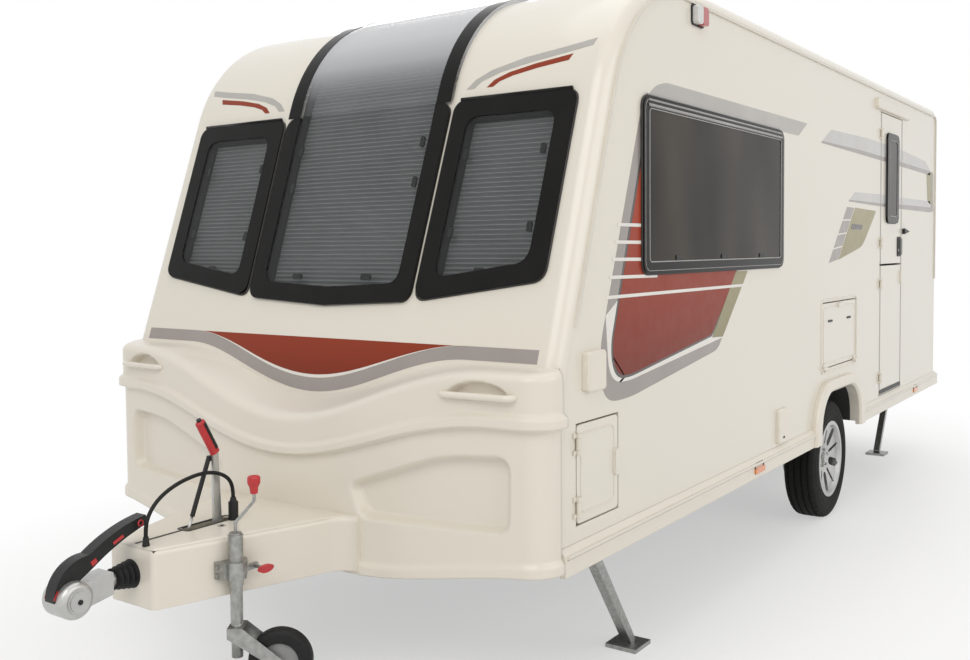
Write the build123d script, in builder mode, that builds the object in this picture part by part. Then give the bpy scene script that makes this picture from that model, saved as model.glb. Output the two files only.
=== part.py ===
"""Single-axle touring caravan: shell panels, chassis, running gear, hitch and doors.

Frame: +X towards the coupling, +Y nearside (door side), +Z up, ground at z = 0. Millimetres.
"""
import os
from math import atan, cos, pi, radians, sin, sqrt, tan

from build123d import *

os.makedirs("parts", exist_ok=True)

# Driving dimensions of the body shell
HALF_WIDTH = 1070
WALL = 32
BASE_Z = 500
ROOF_Z = 2575
FRONT_X = 2306
REAR_X = -3370
KNEE_Z = 1100
RAKE = 18.9
KNEE_R = 300
BROW_R = 650
TAIL_R = 110
EDGE_R = 55
FLANGE = 62
FRONT_SEAM_X = 1300
REAR_SEAM_X = -3230
FLOOR_T = 45

# Running gear
WHEEL_X = -790
TYRE_R = 334
TYRE_W = 178
TYRE_FACE_Y = HALF_WIDTH - 30
BEAD_R = 202
BEAD_IN = 21
HUB_R = 30
RUN_FIT = 0.05
DRUM_R = 130
SPOKES = 5
AXLE_LEAD = 190
AXLE_BOX = 70
ARM_Y = HALF_WIDTH - 310
ARM_T = 40

# Wheel arches and skirts
ARCH_HALF = 375
ARCH_TOP_Z = 742
ARCH_CORNER = 200
ARCH_TRIM = 62
ARCH_SPLAY = 46
ARCH_PROUD = 34
BOX_SHEET = 6
BOX_INNER_Y = TYRE_FACE_Y - TYRE_W - 72
SKIRT_Z = 481
SKIRT_TOP_Z = 573
SKIRT_T = 20

# Chassis
RAIL_Y = HALF_WIDTH - 450
RAIL_W = 50
RAIL_H = 100
AFRAME_H = 65
AFRAME_BEND_X = 1450
AFRAME_TIP_X = 3050
AFRAME_TIP_Y = 75

# Hitch
COVER_FRONT_X = 3110
COVER_FRONT_Y = 109
COVER_REAR_Y = 366
COVER_REAR_X = FRONT_X
COVER_FLARE = 62
COVER_Z = 432
COVER_TOP_Z = 622
COVER_T = 6
BALL_X = 3331
BALL_Z = 505
BALL_R = 25
HEAD_R = 56
DRAWTUBE_R = 26
BELLOWS_R = 46

# Lower front moulding
PANEL_NOSE_X = FRONT_X + 159
PANEL_BACK_X = FRONT_X - 126
PANEL_REAR_X = FRONT_X - 30
PANEL_BOW_R = 6500
PANEL_HALF_W = HALF_WIDTH + 10
PANEL_CORNER_R = 95
PANEL_TOP_Z = KNEE_Z + 150
PANEL_LOW_Z = BASE_Z - 80
SHOULDER_OUT = 8
RIDGE_PROUD = 22
POCKET_DEPTH = 26

# Openings and lids
GAP = 6
HINGE_OUT = 10
HINGE_R = 9
HINGE_PIN_R = 4
KNUCKLE = 40
EAR = 15
AXIAL = 0.3
LEAF = 26
LEAF_T = 6

# Windows
FRAME_PROUD = 14
FRONT_BORDER = 72
SIDE_BORDER = 46
GLASS_T = 6
BLIND_T = 8

# Steadies
STEADY_PIVOT_Z = 440
STEADY_PIN_R = 8
STEADY_PAD = 130
STEADY_PAD_T = 16

# Jockey wheel
JOCKEY_X = 2875
JOCKEY_Y = 218
JOCKEY_R = 103
JOCKEY_W = 58
JOCKEY_AXLE_Z = 225
JOCKEY_TRAIL = 140
JOCKEY_TURN = 125
JOCKEY_TUBE_R = 24


def save(builder, name):
    """Label a finished sub-part and write its STEP file."""
    builder.part.label = name
    export_step(builder.part, f"parts/{name}.step")


def body_outline(inset=0.0, base_z=BASE_Z):
    """Side profile of the shell, moved inwards by inset, as a sketch in X and Z."""
    knee_z = KNEE_Z - inset * tan(radians(RAKE / 2))
    knee_x = FRONT_X - inset
    roof_z = ROOF_Z - inset
    brow_x = knee_x - (roof_z - knee_z) * tan(radians(RAKE))
    tail_x = REAR_X + inset
    corners = [(knee_x, base_z), (knee_x, knee_z), (brow_x, roof_z), (tail_x, roof_z), (tail_x, base_z)]
    with BuildSketch(mode=Mode.PRIVATE) as outline:
        with BuildLine():
            FilletPolyline(*corners, radius=[KNEE_R - inset, BROW_R - inset, TAIL_R - inset])
            Line(corners[-1], corners[0])
        make_face()
    return outline.sketch


def arch_outline(grow, base_z, splay=0):
    """Wheel-arch opening with round upper corners, moved outwards by grow, with legs that may splay."""
    half, top_z = ARCH_HALF + grow, ARCH_TOP_Z + grow
    corners = [(WHEEL_X + half + splay, base_z), (WHEEL_X + half, top_z), (WHEEL_X - half, top_z),
               (WHEEL_X - half - splay, base_z)]
    with BuildSketch(mode=Mode.PRIVATE) as outline:
        with BuildLine():
            FilletPolyline(*corners, radius=ARCH_CORNER + grow)
            Line(corners[-1], corners[0])
        make_face()
    return outline.sketch


def side_plane(side, y):
    """Plane of constant |y| seen from outside, local axes X and Z, normal pointing outwards."""
    return Plane(origin=(0, side * y, 0), x_dir=(-side, 0, 0), z_dir=(0, side, 0))


def side_rect(side, x0, x1, z0, z1, corner=0.0, grow=0.0):
    """Rectangle between two x and two z values on a side plane."""
    with Locations((-side * (x0 + x1) / 2, (z0 + z1) / 2)):
        if corner + grow > 0:
            RectangleRounded(abs(x1 - x0) + 2 * grow, z1 - z0 + 2 * grow, corner + grow)
        else:
            Rectangle(abs(x1 - x0) + 2 * grow, z1 - z0 + 2 * grow)


def hinge_plane(origin, towards, outward):
    """Hinge frame: x towards the lid, y outwards, z along the pin, so a positive turn opens it."""
    return Plane(origin=origin, x_dir=towards, z_dir=Vector(*towards).cross(Vector(*outward)))


def knuckle(plane):
    """Lid half of a hinge: barrel and leaf, bored for the pin."""
    with BuildPart(mode=Mode.PRIVATE) as half:
        with BuildSketch(plane.offset(-KNUCKLE / 2)):
            Circle(HINGE_R)
            with Locations((LEAF / 2, LEAF_T / 2 - HINGE_OUT)):
                Rectangle(LEAF, LEAF_T)
            Circle(HINGE_PIN_R + RUN_FIT, mode=Mode.SUBTRACT)
        extrude(amount=KNUCKLE)
    return half.part


def ears(plane):
    """Wall half of a hinge: two ears with the pin between them."""
    with BuildPart(mode=Mode.PRIVATE) as half:
        for start in (-KNUCKLE / 2 - AXIAL - EAR, KNUCKLE / 2 + AXIAL):
            with BuildSketch(plane.offset(start)):
                Circle(HINGE_R)
                with Locations((-LEAF / 2, LEAF_T / 2 - HINGE_OUT)):
                    Rectangle(LEAF, LEAF_T)
            extrude(amount=EAR)
        with BuildSketch(plane.offset(-KNUCKLE / 2 - AXIAL)):
            Circle(HINGE_PIN_R)
        extrude(amount=KNUCKLE + 2 * AXIAL)
    return half.part


# Lids on the side walls: name, side, x0 (forward edge), x1, z0, z1, hinge edge, hinge positions
DOOR_X0, DOOR_X1, DOOR_Z0, DOOR_SPLIT_Z = -1693, -2267, 581, 1420
DOOR_Z1 = ROOF_Z - 184
LIDS = [
    ("door_upper", 1, DOOR_X0, DOOR_X1, DOOR_SPLIT_Z, DOOR_Z1, "front",
     (DOOR_SPLIT_Z + 140, DOOR_Z1 - 141)),
    ("door_lower", 1, DOOR_X0, DOOR_X1, DOOR_Z0, DOOR_SPLIT_Z, "front",
     (DOOR_Z0 + 119, DOOR_SPLIT_Z - 120)),
    ("gas_locker_door", 1, 2172, 1872, 625, 966, "front", (690, 900)),
    ("service_hatch", 1, -490, -1150, 872, 1236, "bottom", (-525, -1115)),
    ("cassette_door", -1, -2420, -2740, 640, 1060, "front", (710, 990)),
]
LID_CORNER = 18


def lid_hinges(lid):
    """Hinge frames of one lid."""
    name, side, x0, x1, z0, z1, edge, places = lid
    y = side * (HALF_WIDTH + HINGE_OUT)
    if edge == "front":
        return [hinge_plane((x0 - GAP / 2, y, z), (-1, 0, 0), (0, side, 0)) for z in places]
    return [hinge_plane((x, y, z0 + GAP / 2), (0, 0, 1), (0, side, 0)) for x in places]


# Windows on the side walls and the rear: side, x0, x1, z0, z1
SIDE_WINDOWS = [
    (1, 1692, 173, ROOF_Z - 1130, ROOF_Z - 478),
    (-1, 1692, 173, ROOF_Z - 1130, ROOF_Z - 478),
    (-1, -420, -1180, ROOF_Z - 1095, ROOF_Z - 555),
    (-1, -2060, -2760, ROOF_Z - 1015, ROOF_Z - 555),
]
SIDE_WINDOW_CORNER = 45
REAR_WINDOW = (-560, 560, ROOF_Z - 1095, ROOF_Z - 535)
DOOR_WINDOW = (-1830, -2130, DOOR_SPLIT_Z + 270, DOOR_Z1 - 121)

# Front windows on the raked face, as (y, z) corners of the black border
FRONT_WINDOW_TOP_Z = ROOF_Z - 483
CENTRE_WINDOW = [(-417, 1352), (0, 1330), (417, 1352), (430, FRONT_WINDOW_TOP_Z), (-430, FRONT_WINDOW_TOP_Z)]
OUTER_WINDOW = [(436, 1357), (HALF_WIDTH - 104, 1436), (HALF_WIDTH - 96, FRONT_WINDOW_TOP_Z),
                (450, FRONT_WINDOW_TOP_Z)]
FRONT_CORNER = 48
SKYLIGHT_HALF_W = 428
SKYLIGHT_Z = FRONT_WINDOW_TOP_Z + 8
SKYLIGHT_REAR_X = 1130

front_plane = Plane(origin=(FRONT_X, 0, KNEE_Z), x_dir=(0, 1, 0),
                    z_dir=(cos(radians(RAKE)), 0, sin(radians(RAKE))))


def front_window(corners, inset=0.0, side=1):
    """One front window outline on the raked face, as a sketch."""
    points = [(side * y, (z - KNEE_Z) / cos(radians(RAKE))) for y, z in corners]
    with BuildSketch(mode=Mode.PRIVATE) as outline:
        with BuildLine():
            Polyline(*points, close=True)
        make_face()
        fillet(outline.vertices(), FRONT_CORNER)
        if inset:
            offset(amount=-inset, mode=Mode.REPLACE)
    return outline.sketch


FRONT_WINDOWS = [(CENTRE_WINDOW, 1), (OUTER_WINDOW, 1), (OUTER_WINDOW, -1)]

# The centre window runs on into the skylight: its opening above this height, and half its width
OPEN_TOP_Z = FRONT_WINDOW_TOP_Z - 2 * FRONT_BORDER
OPEN_HALF_W = SKYLIGHT_HALF_W - FRONT_BORDER


def centre_upper():
    """The centre window's open upper end on the raked face."""
    low, high = ((z - KNEE_Z) / cos(radians(RAKE)) for z in (OPEN_TOP_Z, FRONT_WINDOW_TOP_Z))
    with BuildSketch(mode=Mode.PRIVATE) as upper:
        with Locations((0, low)):
            Rectangle(2 * OPEN_HALF_W, high - low, align=(Align.CENTER, Align.MIN))
    return upper.sketch


# Shell: the whole outer form, then the ring of panels that is left beside the flat side walls
with BuildPart() as hull:
    with BuildSketch(Plane.XZ):
        add(body_outline())
    extrude(amount=HALF_WIDTH, both=True)
    rims = hull.edges().filter_by(lambda e: abs(abs(e.center().Y) - HALF_WIDTH) < 1)
    fillet(rims.filter_by(lambda e: e.center().Z > BASE_Z + 1), EDGE_R)

with BuildPart() as ring:
    add(hull.part)
    with BuildSketch(Plane.XZ):
        add(body_outline(WALL, BASE_Z - WALL))
    extrude(amount=HALF_WIDTH - WALL, both=True, mode=Mode.SUBTRACT)
    with BuildSketch(Plane.XZ):
        add(body_outline(FLANGE, BASE_Z - WALL))
    extrude(amount=HALF_WIDTH + WALL, both=True, mode=Mode.SUBTRACT)

with BuildPart() as front_panel:
    add(ring.part)
    split(bisect_by=Plane.YZ.offset(FRONT_SEAM_X), keep=Keep.TOP)
    with BuildSketch(front_plane):
        for corners, side in FRONT_WINDOWS:
            add(front_window(corners, FRONT_BORDER, side))
    extrude(amount=3 * WALL, both=True, mode=Mode.SUBTRACT)
    with BuildSketch(Plane.YZ.offset(FRONT_SEAM_X + WALL)):
        with Locations((0, OPEN_TOP_Z)):
            Rectangle(2 * OPEN_HALF_W, ROOF_Z, align=(Align.CENTER, Align.MIN))
    extrude(amount=FRONT_X, mode=Mode.SUBTRACT)
save(front_panel, "front_panel")

ROOF_VENT_X = -250
ROOF_VENT = 400
with BuildPart() as roof_panel:
    add(ring.part)
    split(bisect_by=Plane.YZ.offset(FRONT_SEAM_X), keep=Keep.BOTTOM)
    split(bisect_by=Plane.YZ.offset(REAR_SEAM_X), keep=Keep.TOP)
    with BuildSketch(Plane.XY.offset(ROOF_Z)):
        with Locations((ROOF_VENT_X, 0)):
            Rectangle(ROOF_VENT, ROOF_VENT)
    extrude(amount=-2 * WALL, mode=Mode.SUBTRACT)
save(roof_panel, "roof_panel")

with BuildPart() as rear_panel:
    add(ring.part)
    split(bisect_by=Plane.YZ.offset(REAR_SEAM_X), keep=Keep.BOTTOM)
    y0, y1, z0, z1 = REAR_WINDOW
    with BuildSketch(Plane.YZ.offset(REAR_X)):
        with Locations(((y0 + y1) / 2, (z0 + z1) / 2)):
            RectangleRounded(y1 - y0 - 2 * SIDE_BORDER, z1 - z0 - 2 * SIDE_BORDER, SIDE_WINDOW_CORNER)
    extrude(amount=2 * WALL, mode=Mode.SUBTRACT)
save(rear_panel, "rear_panel")

for side, label in ((1, "left"), (-1, "right")):
    with BuildPart() as side_wall:
        with BuildSketch(Plane.XZ.offset(-side * HALF_WIDTH)):
            add(body_outline(FLANGE))
        extrude(amount=side * WALL)
        with BuildSketch(Plane.XZ.offset(-side * HALF_WIDTH)):
            add(arch_outline(0, BASE_Z - WALL))
        extrude(amount=side * WALL, mode=Mode.SUBTRACT)
        with BuildSketch(side_plane(side, HALF_WIDTH)):
            for name, lid_side, x0, x1, z0, z1, edge, places in LIDS:
                if lid_side == side and name != "door_lower":
                    low_z = DOOR_Z0 if name == "door_upper" else z0
                    side_rect(side, x0, x1, low_z, z1)
            for window_side, x0, x1, z0, z1 in SIDE_WINDOWS:
                if window_side == side:
                    side_rect(side, x0, x1, z0, z1, SIDE_WINDOW_CORNER, -SIDE_BORDER / 2)
        extrude(amount=-WALL, mode=Mode.SUBTRACT)
    save(side_wall, f"side_wall_{label}")

# Awning rails cover the seam between the side walls and the ring
RAIL_OVER = 12
RAIL_PROUD = 9
RAIL_LOW_Z = 1290
with BuildPart() as awning_rails:
    for side in (1, -1):
        with BuildSketch(Plane.XZ.offset(-side * HALF_WIDTH)) as strip:
            add(body_outline(EDGE_R + 1))
            add(body_outline(EDGE_R + 1 + RAIL_OVER, BASE_Z - WALL), mode=Mode.SUBTRACT)
            with Locations((0, (BASE_Z + RAIL_LOW_Z) / 2)):
                Rectangle(4 * FRONT_X, RAIL_LOW_Z - BASE_Z, mode=Mode.SUBTRACT)
        extrude(amount=-side * RAIL_PROUD)
save(awning_rails, "awning_rails")

# Floor and the boxes over the wheels
with BuildPart() as floor:
    with BuildSketch(Plane.XY.offset(BASE_Z)):
        with Locations(((FRONT_X + REAR_X) / 2, 0)):
            Rectangle(FRONT_X - REAR_X - 2 * WALL, 2 * (HALF_WIDTH - WALL))
        for side in (1, -1):
            with Locations((WHEEL_X, side * (BOX_INNER_Y - BOX_SHEET + HALF_WIDTH) / 2)):
                Rectangle(2 * (ARCH_HALF + BOX_SHEET), HALF_WIDTH - BOX_INNER_Y + BOX_SHEET, mode=Mode.SUBTRACT)
    extrude(amount=FLOOR_T)
save(floor, "floor")

with BuildPart() as wheel_boxes:
    with BuildSketch(Plane.XZ.offset(-(HALF_WIDTH - WALL))):
        add(arch_outline(BOX_SHEET, BASE_Z))
    extrude(amount=HALF_WIDTH - WALL - BOX_INNER_Y + BOX_SHEET)
    with BuildSketch(Plane.XZ.offset(-(HALF_WIDTH - WALL))):
        add(arch_outline(0, BASE_Z - WALL))
    extrude(amount=HALF_WIDTH - WALL - BOX_INNER_Y, mode=Mode.SUBTRACT)
    mirror(about=Plane.XZ)
save(wheel_boxes, "wheel_boxes")

with BuildPart() as arch_trims:
    with BuildSketch(Plane.XZ.offset(-HALF_WIDTH)):
        add(arch_outline(ARCH_TRIM, SKIRT_Z, ARCH_SPLAY))
        add(arch_outline(0, SKIRT_Z - WALL), mode=Mode.SUBTRACT)
    extrude(amount=-ARCH_PROUD)
    outer = arch_trims.edges().filter_by(lambda e: abs(e.center().Y - HALF_WIDTH - ARCH_PROUD) < 1)
    chamfer(outer.filter_by(lambda e: e.center().Z > SKIRT_Z + 1), ARCH_PROUD / 3)
    mirror(about=Plane.XZ)
save(arch_trims, "arch_trims")

# Skirts along the sides, in two lengths each, with a sloped upper edge
with BuildPart() as skirts:
    for x0, x1 in ((PANEL_REAR_X, WHEEL_X + ARCH_HALF + ARCH_TRIM), (WHEEL_X - ARCH_HALF - ARCH_TRIM, REAR_X)):
        with BuildSketch(Plane.YZ.offset(x1)):
            with BuildLine():
                Polyline((HALF_WIDTH, SKIRT_Z), (HALF_WIDTH + SKIRT_T, SKIRT_Z),
                         (HALF_WIDTH + SKIRT_T, SKIRT_TOP_Z - SKIRT_T), (HALF_WIDTH, SKIRT_TOP_Z), close=True)
            make_face()
        extrude(amount=x0 - x1)
    mirror(about=Plane.XZ)
    add(arch_trims.part, mode=Mode.SUBTRACT)
save(skirts, "skirts")

# Chassis: two rails, the A-frame and cross members
CROSS_X = (AFRAME_BEND_X - 60, 500, -1700, -2900)
with BuildPart() as chassis:
    for side in (1, -1):
        with BuildSketch(Plane.XY.offset(BASE_Z - RAIL_H)):
            with Locations(((AFRAME_BEND_X + REAR_X) / 2 + RAIL_H, side * RAIL_Y)):
                Rectangle(AFRAME_BEND_X - REAR_X - 2 * RAIL_H, RAIL_W)
        extrude(amount=RAIL_H)
        with BuildSketch(Plane.XY.offset(BASE_Z - AFRAME_H)):
            with BuildLine():
                Polyline((AFRAME_BEND_X - RAIL_W, side * (RAIL_Y - RAIL_W / 2)),
                         (AFRAME_BEND_X - RAIL_W, side * (RAIL_Y + RAIL_W / 2)),
                         (AFRAME_BEND_X, side * (RAIL_Y + RAIL_W / 2)),
                         (AFRAME_TIP_X, side * (AFRAME_TIP_Y + RAIL_W / 2)),
                         (AFRAME_TIP_X, side * (AFRAME_TIP_Y - RAIL_W / 2)),
                         (AFRAME_BEND_X, side * (RAIL_Y - RAIL_W / 2)), close=True)
            make_face()
        extrude(amount=AFRAME_H)
    for x in CROSS_X:
        with Locations((x, 0, BASE_Z - AFRAME_H / 2)):
            Box(RAIL_W, 2 * RAIL_Y, AFRAME_H)
    with Locations((AFRAME_TIP_X - RAIL_W, 0, BASE_Z - AFRAME_H / 2)):
        Box(2 * RAIL_W, 2 * AFRAME_TIP_Y, AFRAME_H)
save(chassis, "chassis")

# Axle: square tube under the rails, trailing arms, stub axles and drums
arm_x = WHEEL_X + AXLE_LEAD
axle_z = BASE_Z - RAIL_H - AXLE_BOX / 2
with BuildPart() as axle:
    with Locations((arm_x, 0, axle_z)):
        Box(AXLE_BOX, 2 * ARM_Y, AXLE_BOX)
    for side in (1, -1):
        with BuildSketch(Plane.XZ.offset(-side * ARM_Y)):
            with Locations((arm_x, axle_z), (WHEEL_X, TYRE_R)):
                Circle(AXLE_BOX / 2)
            with BuildLine():
                half = AXLE_BOX / 2 - 3
                Polyline((arm_x, axle_z - half), (arm_x, axle_z + half), (WHEEL_X, TYRE_R + half),
                         (WHEEL_X, TYRE_R - half), close=True)
            make_face()
        extrude(amount=-side * ARM_T)
        hub_plane = Plane.XZ.offset(-side * (ARM_Y + ARM_T))
        with BuildSketch(hub_plane):
            with Locations((WHEEL_X, TYRE_R)):
                Circle(DRUM_R)
        extrude(amount=-side * (TYRE_FACE_Y - TYRE_W / 2 - 30 - ARM_Y - ARM_T))
        with BuildSketch(hub_plane):
            with Locations((WHEEL_X, TYRE_R)):
                Circle(HUB_R)
        extrude(amount=-side * (TYRE_FACE_Y - 60 - ARM_Y - ARM_T))
save(axle, "axle")

# Wheels
RIM_T = 9
FLANGE_R = BEAD_R + 12
DISC_Y = TYRE_FACE_Y - 45
HUB_BOSS_R = 62
for side, label in ((1, "left"), (-1, "right")):
    spin = Axis((WHEEL_X, 0, TYRE_R), (0, 1, 0))
    inner_y = TYRE_FACE_Y - TYRE_W
    with BuildPart() as tyre:
        with BuildSketch(Plane(origin=(WHEEL_X, 0, TYRE_R), x_dir=(0, side, 0), z_dir=(side, 0, 0))):
            with BuildLine():
                FilletPolyline((inner_y + BEAD_IN, BEAD_R), (inner_y, BEAD_R + 60), (inner_y + 8, TYRE_R),
                               (TYRE_FACE_Y - 8, TYRE_R), (TYRE_FACE_Y, BEAD_R + 60),
                               (TYRE_FACE_Y - BEAD_IN, BEAD_R), radius=[55, 26, 26, 55])
                Line((TYRE_FACE_Y - BEAD_IN, BEAD_R), (inner_y + BEAD_IN, BEAD_R))
            make_face()
        revolve(axis=spin)
    save(tyre, f"tyre_{label}")
    with BuildPart() as rim:
        with BuildSketch(Plane(origin=(WHEEL_X, 0, TYRE_R), x_dir=(0, side, 0), z_dir=(side, 0, 0))):
            with BuildLine():
                Polyline((inner_y + 5, BEAD_R - RIM_T), (inner_y + 5, FLANGE_R), (inner_y + 13, FLANGE_R),
                         (inner_y + 13, BEAD_R), (TYRE_FACE_Y - 13, BEAD_R), (TYRE_FACE_Y - 13, FLANGE_R),
                         (TYRE_FACE_Y - 5, FLANGE_R), (TYRE_FACE_Y - 5, BEAD_R - RIM_T),
                         (DISC_Y + 20, BEAD_R - 2 * RIM_T), (DISC_Y, HUB_BOSS_R), (DISC_Y, HUB_R + RUN_FIT),
                         (DISC_Y - 60, HUB_R + RUN_FIT), (DISC_Y - 60, HUB_BOSS_R), (DISC_Y - 24, HUB_BOSS_R),
                         (DISC_Y - 4, BEAD_R - 2 * RIM_T), (DISC_Y - 12, BEAD_R - RIM_T), close=True)
            make_face()
        revolve(axis=spin)
        face_plane = Plane(origin=(WHEEL_X, side * (TYRE_FACE_Y + 5), TYRE_R), x_dir=(1, 0, 0), z_dir=(0, side, 0))
        with BuildSketch(face_plane):
            for start, width in ((90, 46), (90 + 180 / SPOKES, 18)):
                with PolarLocations((HUB_BOSS_R + BEAD_R) / 2 + 2, SPOKES, start_angle=start):
                    SlotOverall(BEAD_R - HUB_BOSS_R - 34, width)
        extrude(amount=-80, mode=Mode.SUBTRACT)
    save(rim, f"rim_{label}")

# A-frame cover: tapered plan, hollow below, rounded upper edges
SLOT_X0, SLOT_X1, SLOT_W = 2700, 2910, 56
SOCKET_FIT = 0.3


def cover_plan(inset, rear_x, flare=0):
    """Plan of the A-frame cover, moved inwards by inset, with a flare where it meets the moulding."""
    slope = (COVER_REAR_Y - COVER_FRONT_Y) / (COVER_FRONT_X - COVER_REAR_X)
    front_x = COVER_FRONT_X - inset
    front_y = COVER_FRONT_Y + slope * inset - inset * sqrt(1 + slope**2)
    rear_y = front_y + slope * (front_x - rear_x)
    flare_x = PANEL_NOSE_X + SHOULDER_OUT
    near_y = front_y + slope * (front_x - flare_x - flare)
    far_y = near_y + (1 + slope) * flare
    with BuildSketch(mode=Mode.PRIVATE) as plan:
        with BuildLine():
            Line((front_x, -front_y), (front_x, front_y))
            if flare:
                for s in (1, -1):
                    Line((front_x, s * front_y), (flare_x + flare, s * near_y))
                    TangentArc((flare_x + flare, s * near_y), (flare_x, s * far_y), tangent=(-1, s * slope))
                    Line((flare_x, s * far_y), (rear_x, s * far_y))
                Line((rear_x, far_y), (rear_x, -far_y))
            else:
                Polyline((front_x, front_y), (rear_x, rear_y), (rear_x, -rear_y), (front_x, -front_y))
        make_face()
    return plan.sketch


with BuildPart() as cover_form:
    with BuildSketch(Plane.XY.offset(COVER_Z)):
        add(cover_plan(0, COVER_REAR_X, COVER_FLARE))
    extrude(amount=COVER_TOP_Z - COVER_Z)
    fillet(cover_form.edges().filter_by(Axis.Z).group_by(Axis.X)[-1], 24)
    top_edges = cover_form.faces().sort_by(Axis.Z)[-1].edges()
    fillet(top_edges.filter_by(lambda e: e.center().X > COVER_REAR_X + 1), 20)

with BuildPart() as a_frame_cover:
    add(cover_form.part)
    with BuildSketch(Plane.XY.offset(COVER_Z)):
        add(cover_plan(COVER_T, COVER_REAR_X))
    extrude(amount=COVER_TOP_Z - COVER_T - COVER_Z, mode=Mode.SUBTRACT)
    with BuildSketch(Plane.XY.offset(COVER_TOP_Z)):
        with Locations(((SLOT_X0 + SLOT_X1) / 2, 0)):
            SlotOverall(SLOT_X1 - SLOT_X0, SLOT_W)
    extrude(amount=-2 * COVER_T, mode=Mode.SUBTRACT)
    with BuildSketch(Plane.YZ.offset(COVER_FRONT_X)):
        with Locations((0, BALL_Z + DRAWTUBE_R)):
            Circle(BELLOWS_R - 8)
    extrude(amount=-2 * COVER_T, mode=Mode.SUBTRACT)
save(a_frame_cover, "a_frame_cover")

# Lower front moulding: bowed plan under a waved shelf, with a waved bead, two pockets and two hand recesses
# Waves are (height at the middle, rise to the sides, half length)
SHELF_X0, SHELF_X1 = FRONT_X - 40, FRONT_X + 214
SHELF_ROOT = (1020, 145, 750)
SHELF_CREST = (927, 206, 890)
RIDGE_TOP = (843, 171, 885)
RIDGE_LOW = (801, 163, 885)
WAVE_SPLIT = 0.42
POCKET = [(318, 735), (372, 612), (HALF_WIDTH - 115, 628), (HALF_WIDTH - 112, 884), (700, 866)]
POCKET_CORNER = 34
FOOT_H = 30
FOOT_PROUD = 12


def panel_plan(outset):
    """Plan of the lower front moulding, moved outwards by outset."""
    half = PANEL_HALF_W + outset
    nose = PANEL_NOSE_X + outset
    corner_x = nose - PANEL_BOW_R + sqrt(PANEL_BOW_R**2 - half**2)
    with BuildSketch(mode=Mode.PRIVATE) as plan:
        with BuildLine():
            ThreePointArc((corner_x, -half), (nose, 0), (corner_x, half))
            Polyline((corner_x, half), (PANEL_BACK_X, half), (PANEL_BACK_X, -half), (corner_x, -half))
        make_face()
        fillet(plan.vertices().group_by(Axis.X)[-1], PANEL_CORNER_R)
    return plan.sketch


def panel_prism(outset):
    """The moulding's plan over its full height."""
    with BuildPart(mode=Mode.PRIVATE) as block:
        with BuildSketch(Plane.XY.offset(PANEL_LOW_Z)):
            add(panel_plan(outset))
        extrude(amount=PANEL_TOP_Z - PANEL_LOW_Z)
    return block.part


def under_wave(mid_z, rise, half):
    """Region below a line that dips at the middle, as a sketch in Y and Z."""
    lean = 2 * atan(rise / half)
    total_r = half / sin(lean)
    inner_r = WAVE_SPLIT * total_r
    outer_r = total_r - inner_r
    bend_y, bend_z = inner_r * sin(lean), mid_z + inner_r * (1 - cos(lean))
    mid_y, turn_z = half - outer_r * sin(lean / 2), mid_z + rise - outer_r * (1 - cos(lean / 2))
    out_y, out_z = PANEL_HALF_W + 2 * RIDGE_PROUD, mid_z + rise
    low_z = PANEL_LOW_Z - RIDGE_PROUD
    with BuildSketch(mode=Mode.PRIVATE) as region:
        with BuildLine():
            ThreePointArc((-bend_y, bend_z), (0, mid_z), (bend_y, bend_z))
            for s in (1, -1):
                ThreePointArc((s * bend_y, bend_z), (s * mid_y, turn_z), (s * half, out_z))
                Polyline((s * half, out_z), (s * out_y, out_z), (s * out_y, low_z))
            Line((-out_y, low_z), (out_y, low_z))
        make_face()
    return region.sketch


with BuildPart() as shelf:
    with BuildSketch(Plane.YZ.offset(SHELF_X0)):
        add(under_wave(*SHELF_ROOT))
    with BuildSketch(Plane.YZ.offset(SHELF_X1)):
        add(under_wave(*SHELF_CREST))
    loft(ruled=True)

with BuildPart() as ridge:
    add(panel_prism(RIDGE_PROUD))
    with BuildSketch(Plane.YZ):
        add(under_wave(*RIDGE_TOP))
        add(under_wave(*RIDGE_LOW), mode=Mode.SUBTRACT)
    extrude(amount=2 * PANEL_NOSE_X, mode=Mode.INTERSECT)

with BuildPart() as below_ridge:
    add(panel_prism(2 * RIDGE_PROUD))
    add(panel_prism(0), mode=Mode.SUBTRACT)
    with BuildSketch(Plane.YZ):
        add(under_wave(*RIDGE_LOW))
    extrude(amount=2 * PANEL_NOSE_X, mode=Mode.INTERSECT)

with BuildPart() as pocket_cut:
    add(panel_prism(1))
    add(panel_prism(-POCKET_DEPTH), mode=Mode.SUBTRACT)
    with BuildSketch(Plane.YZ):
        with BuildLine():
            Polyline(*POCKET, close=True)
        make_face()
        fillet(vertices(), POCKET_CORNER)
        mirror(about=Plane.YZ)
    extrude(amount=2 * PANEL_NOSE_X, mode=Mode.INTERSECT)

HANDLE_Y, HANDLE_Z = HALF_WIDTH - 225, 1072
RECESS_HALF, RECESS_H, RECESS_X = 94, 58, FRONT_X + 62
with BuildPart() as handle_recess:
    with BuildSketch(Plane.YZ.offset(RECESS_X)):
        with BuildLine():
            ThreePointArc((HANDLE_Y - RECESS_HALF, HANDLE_Z), (HANDLE_Y, HANDLE_Z + RECESS_H),
                          (HANDLE_Y + RECESS_HALF, HANDLE_Z))
            Line((HANDLE_Y + RECESS_HALF, HANDLE_Z), (HANDLE_Y - RECESS_HALF, HANDLE_Z))
        make_face()
        mirror(about=Plane.YZ)
    extrude(amount=PANEL_NOSE_X - RECESS_X + RIDGE_PROUD)

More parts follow.
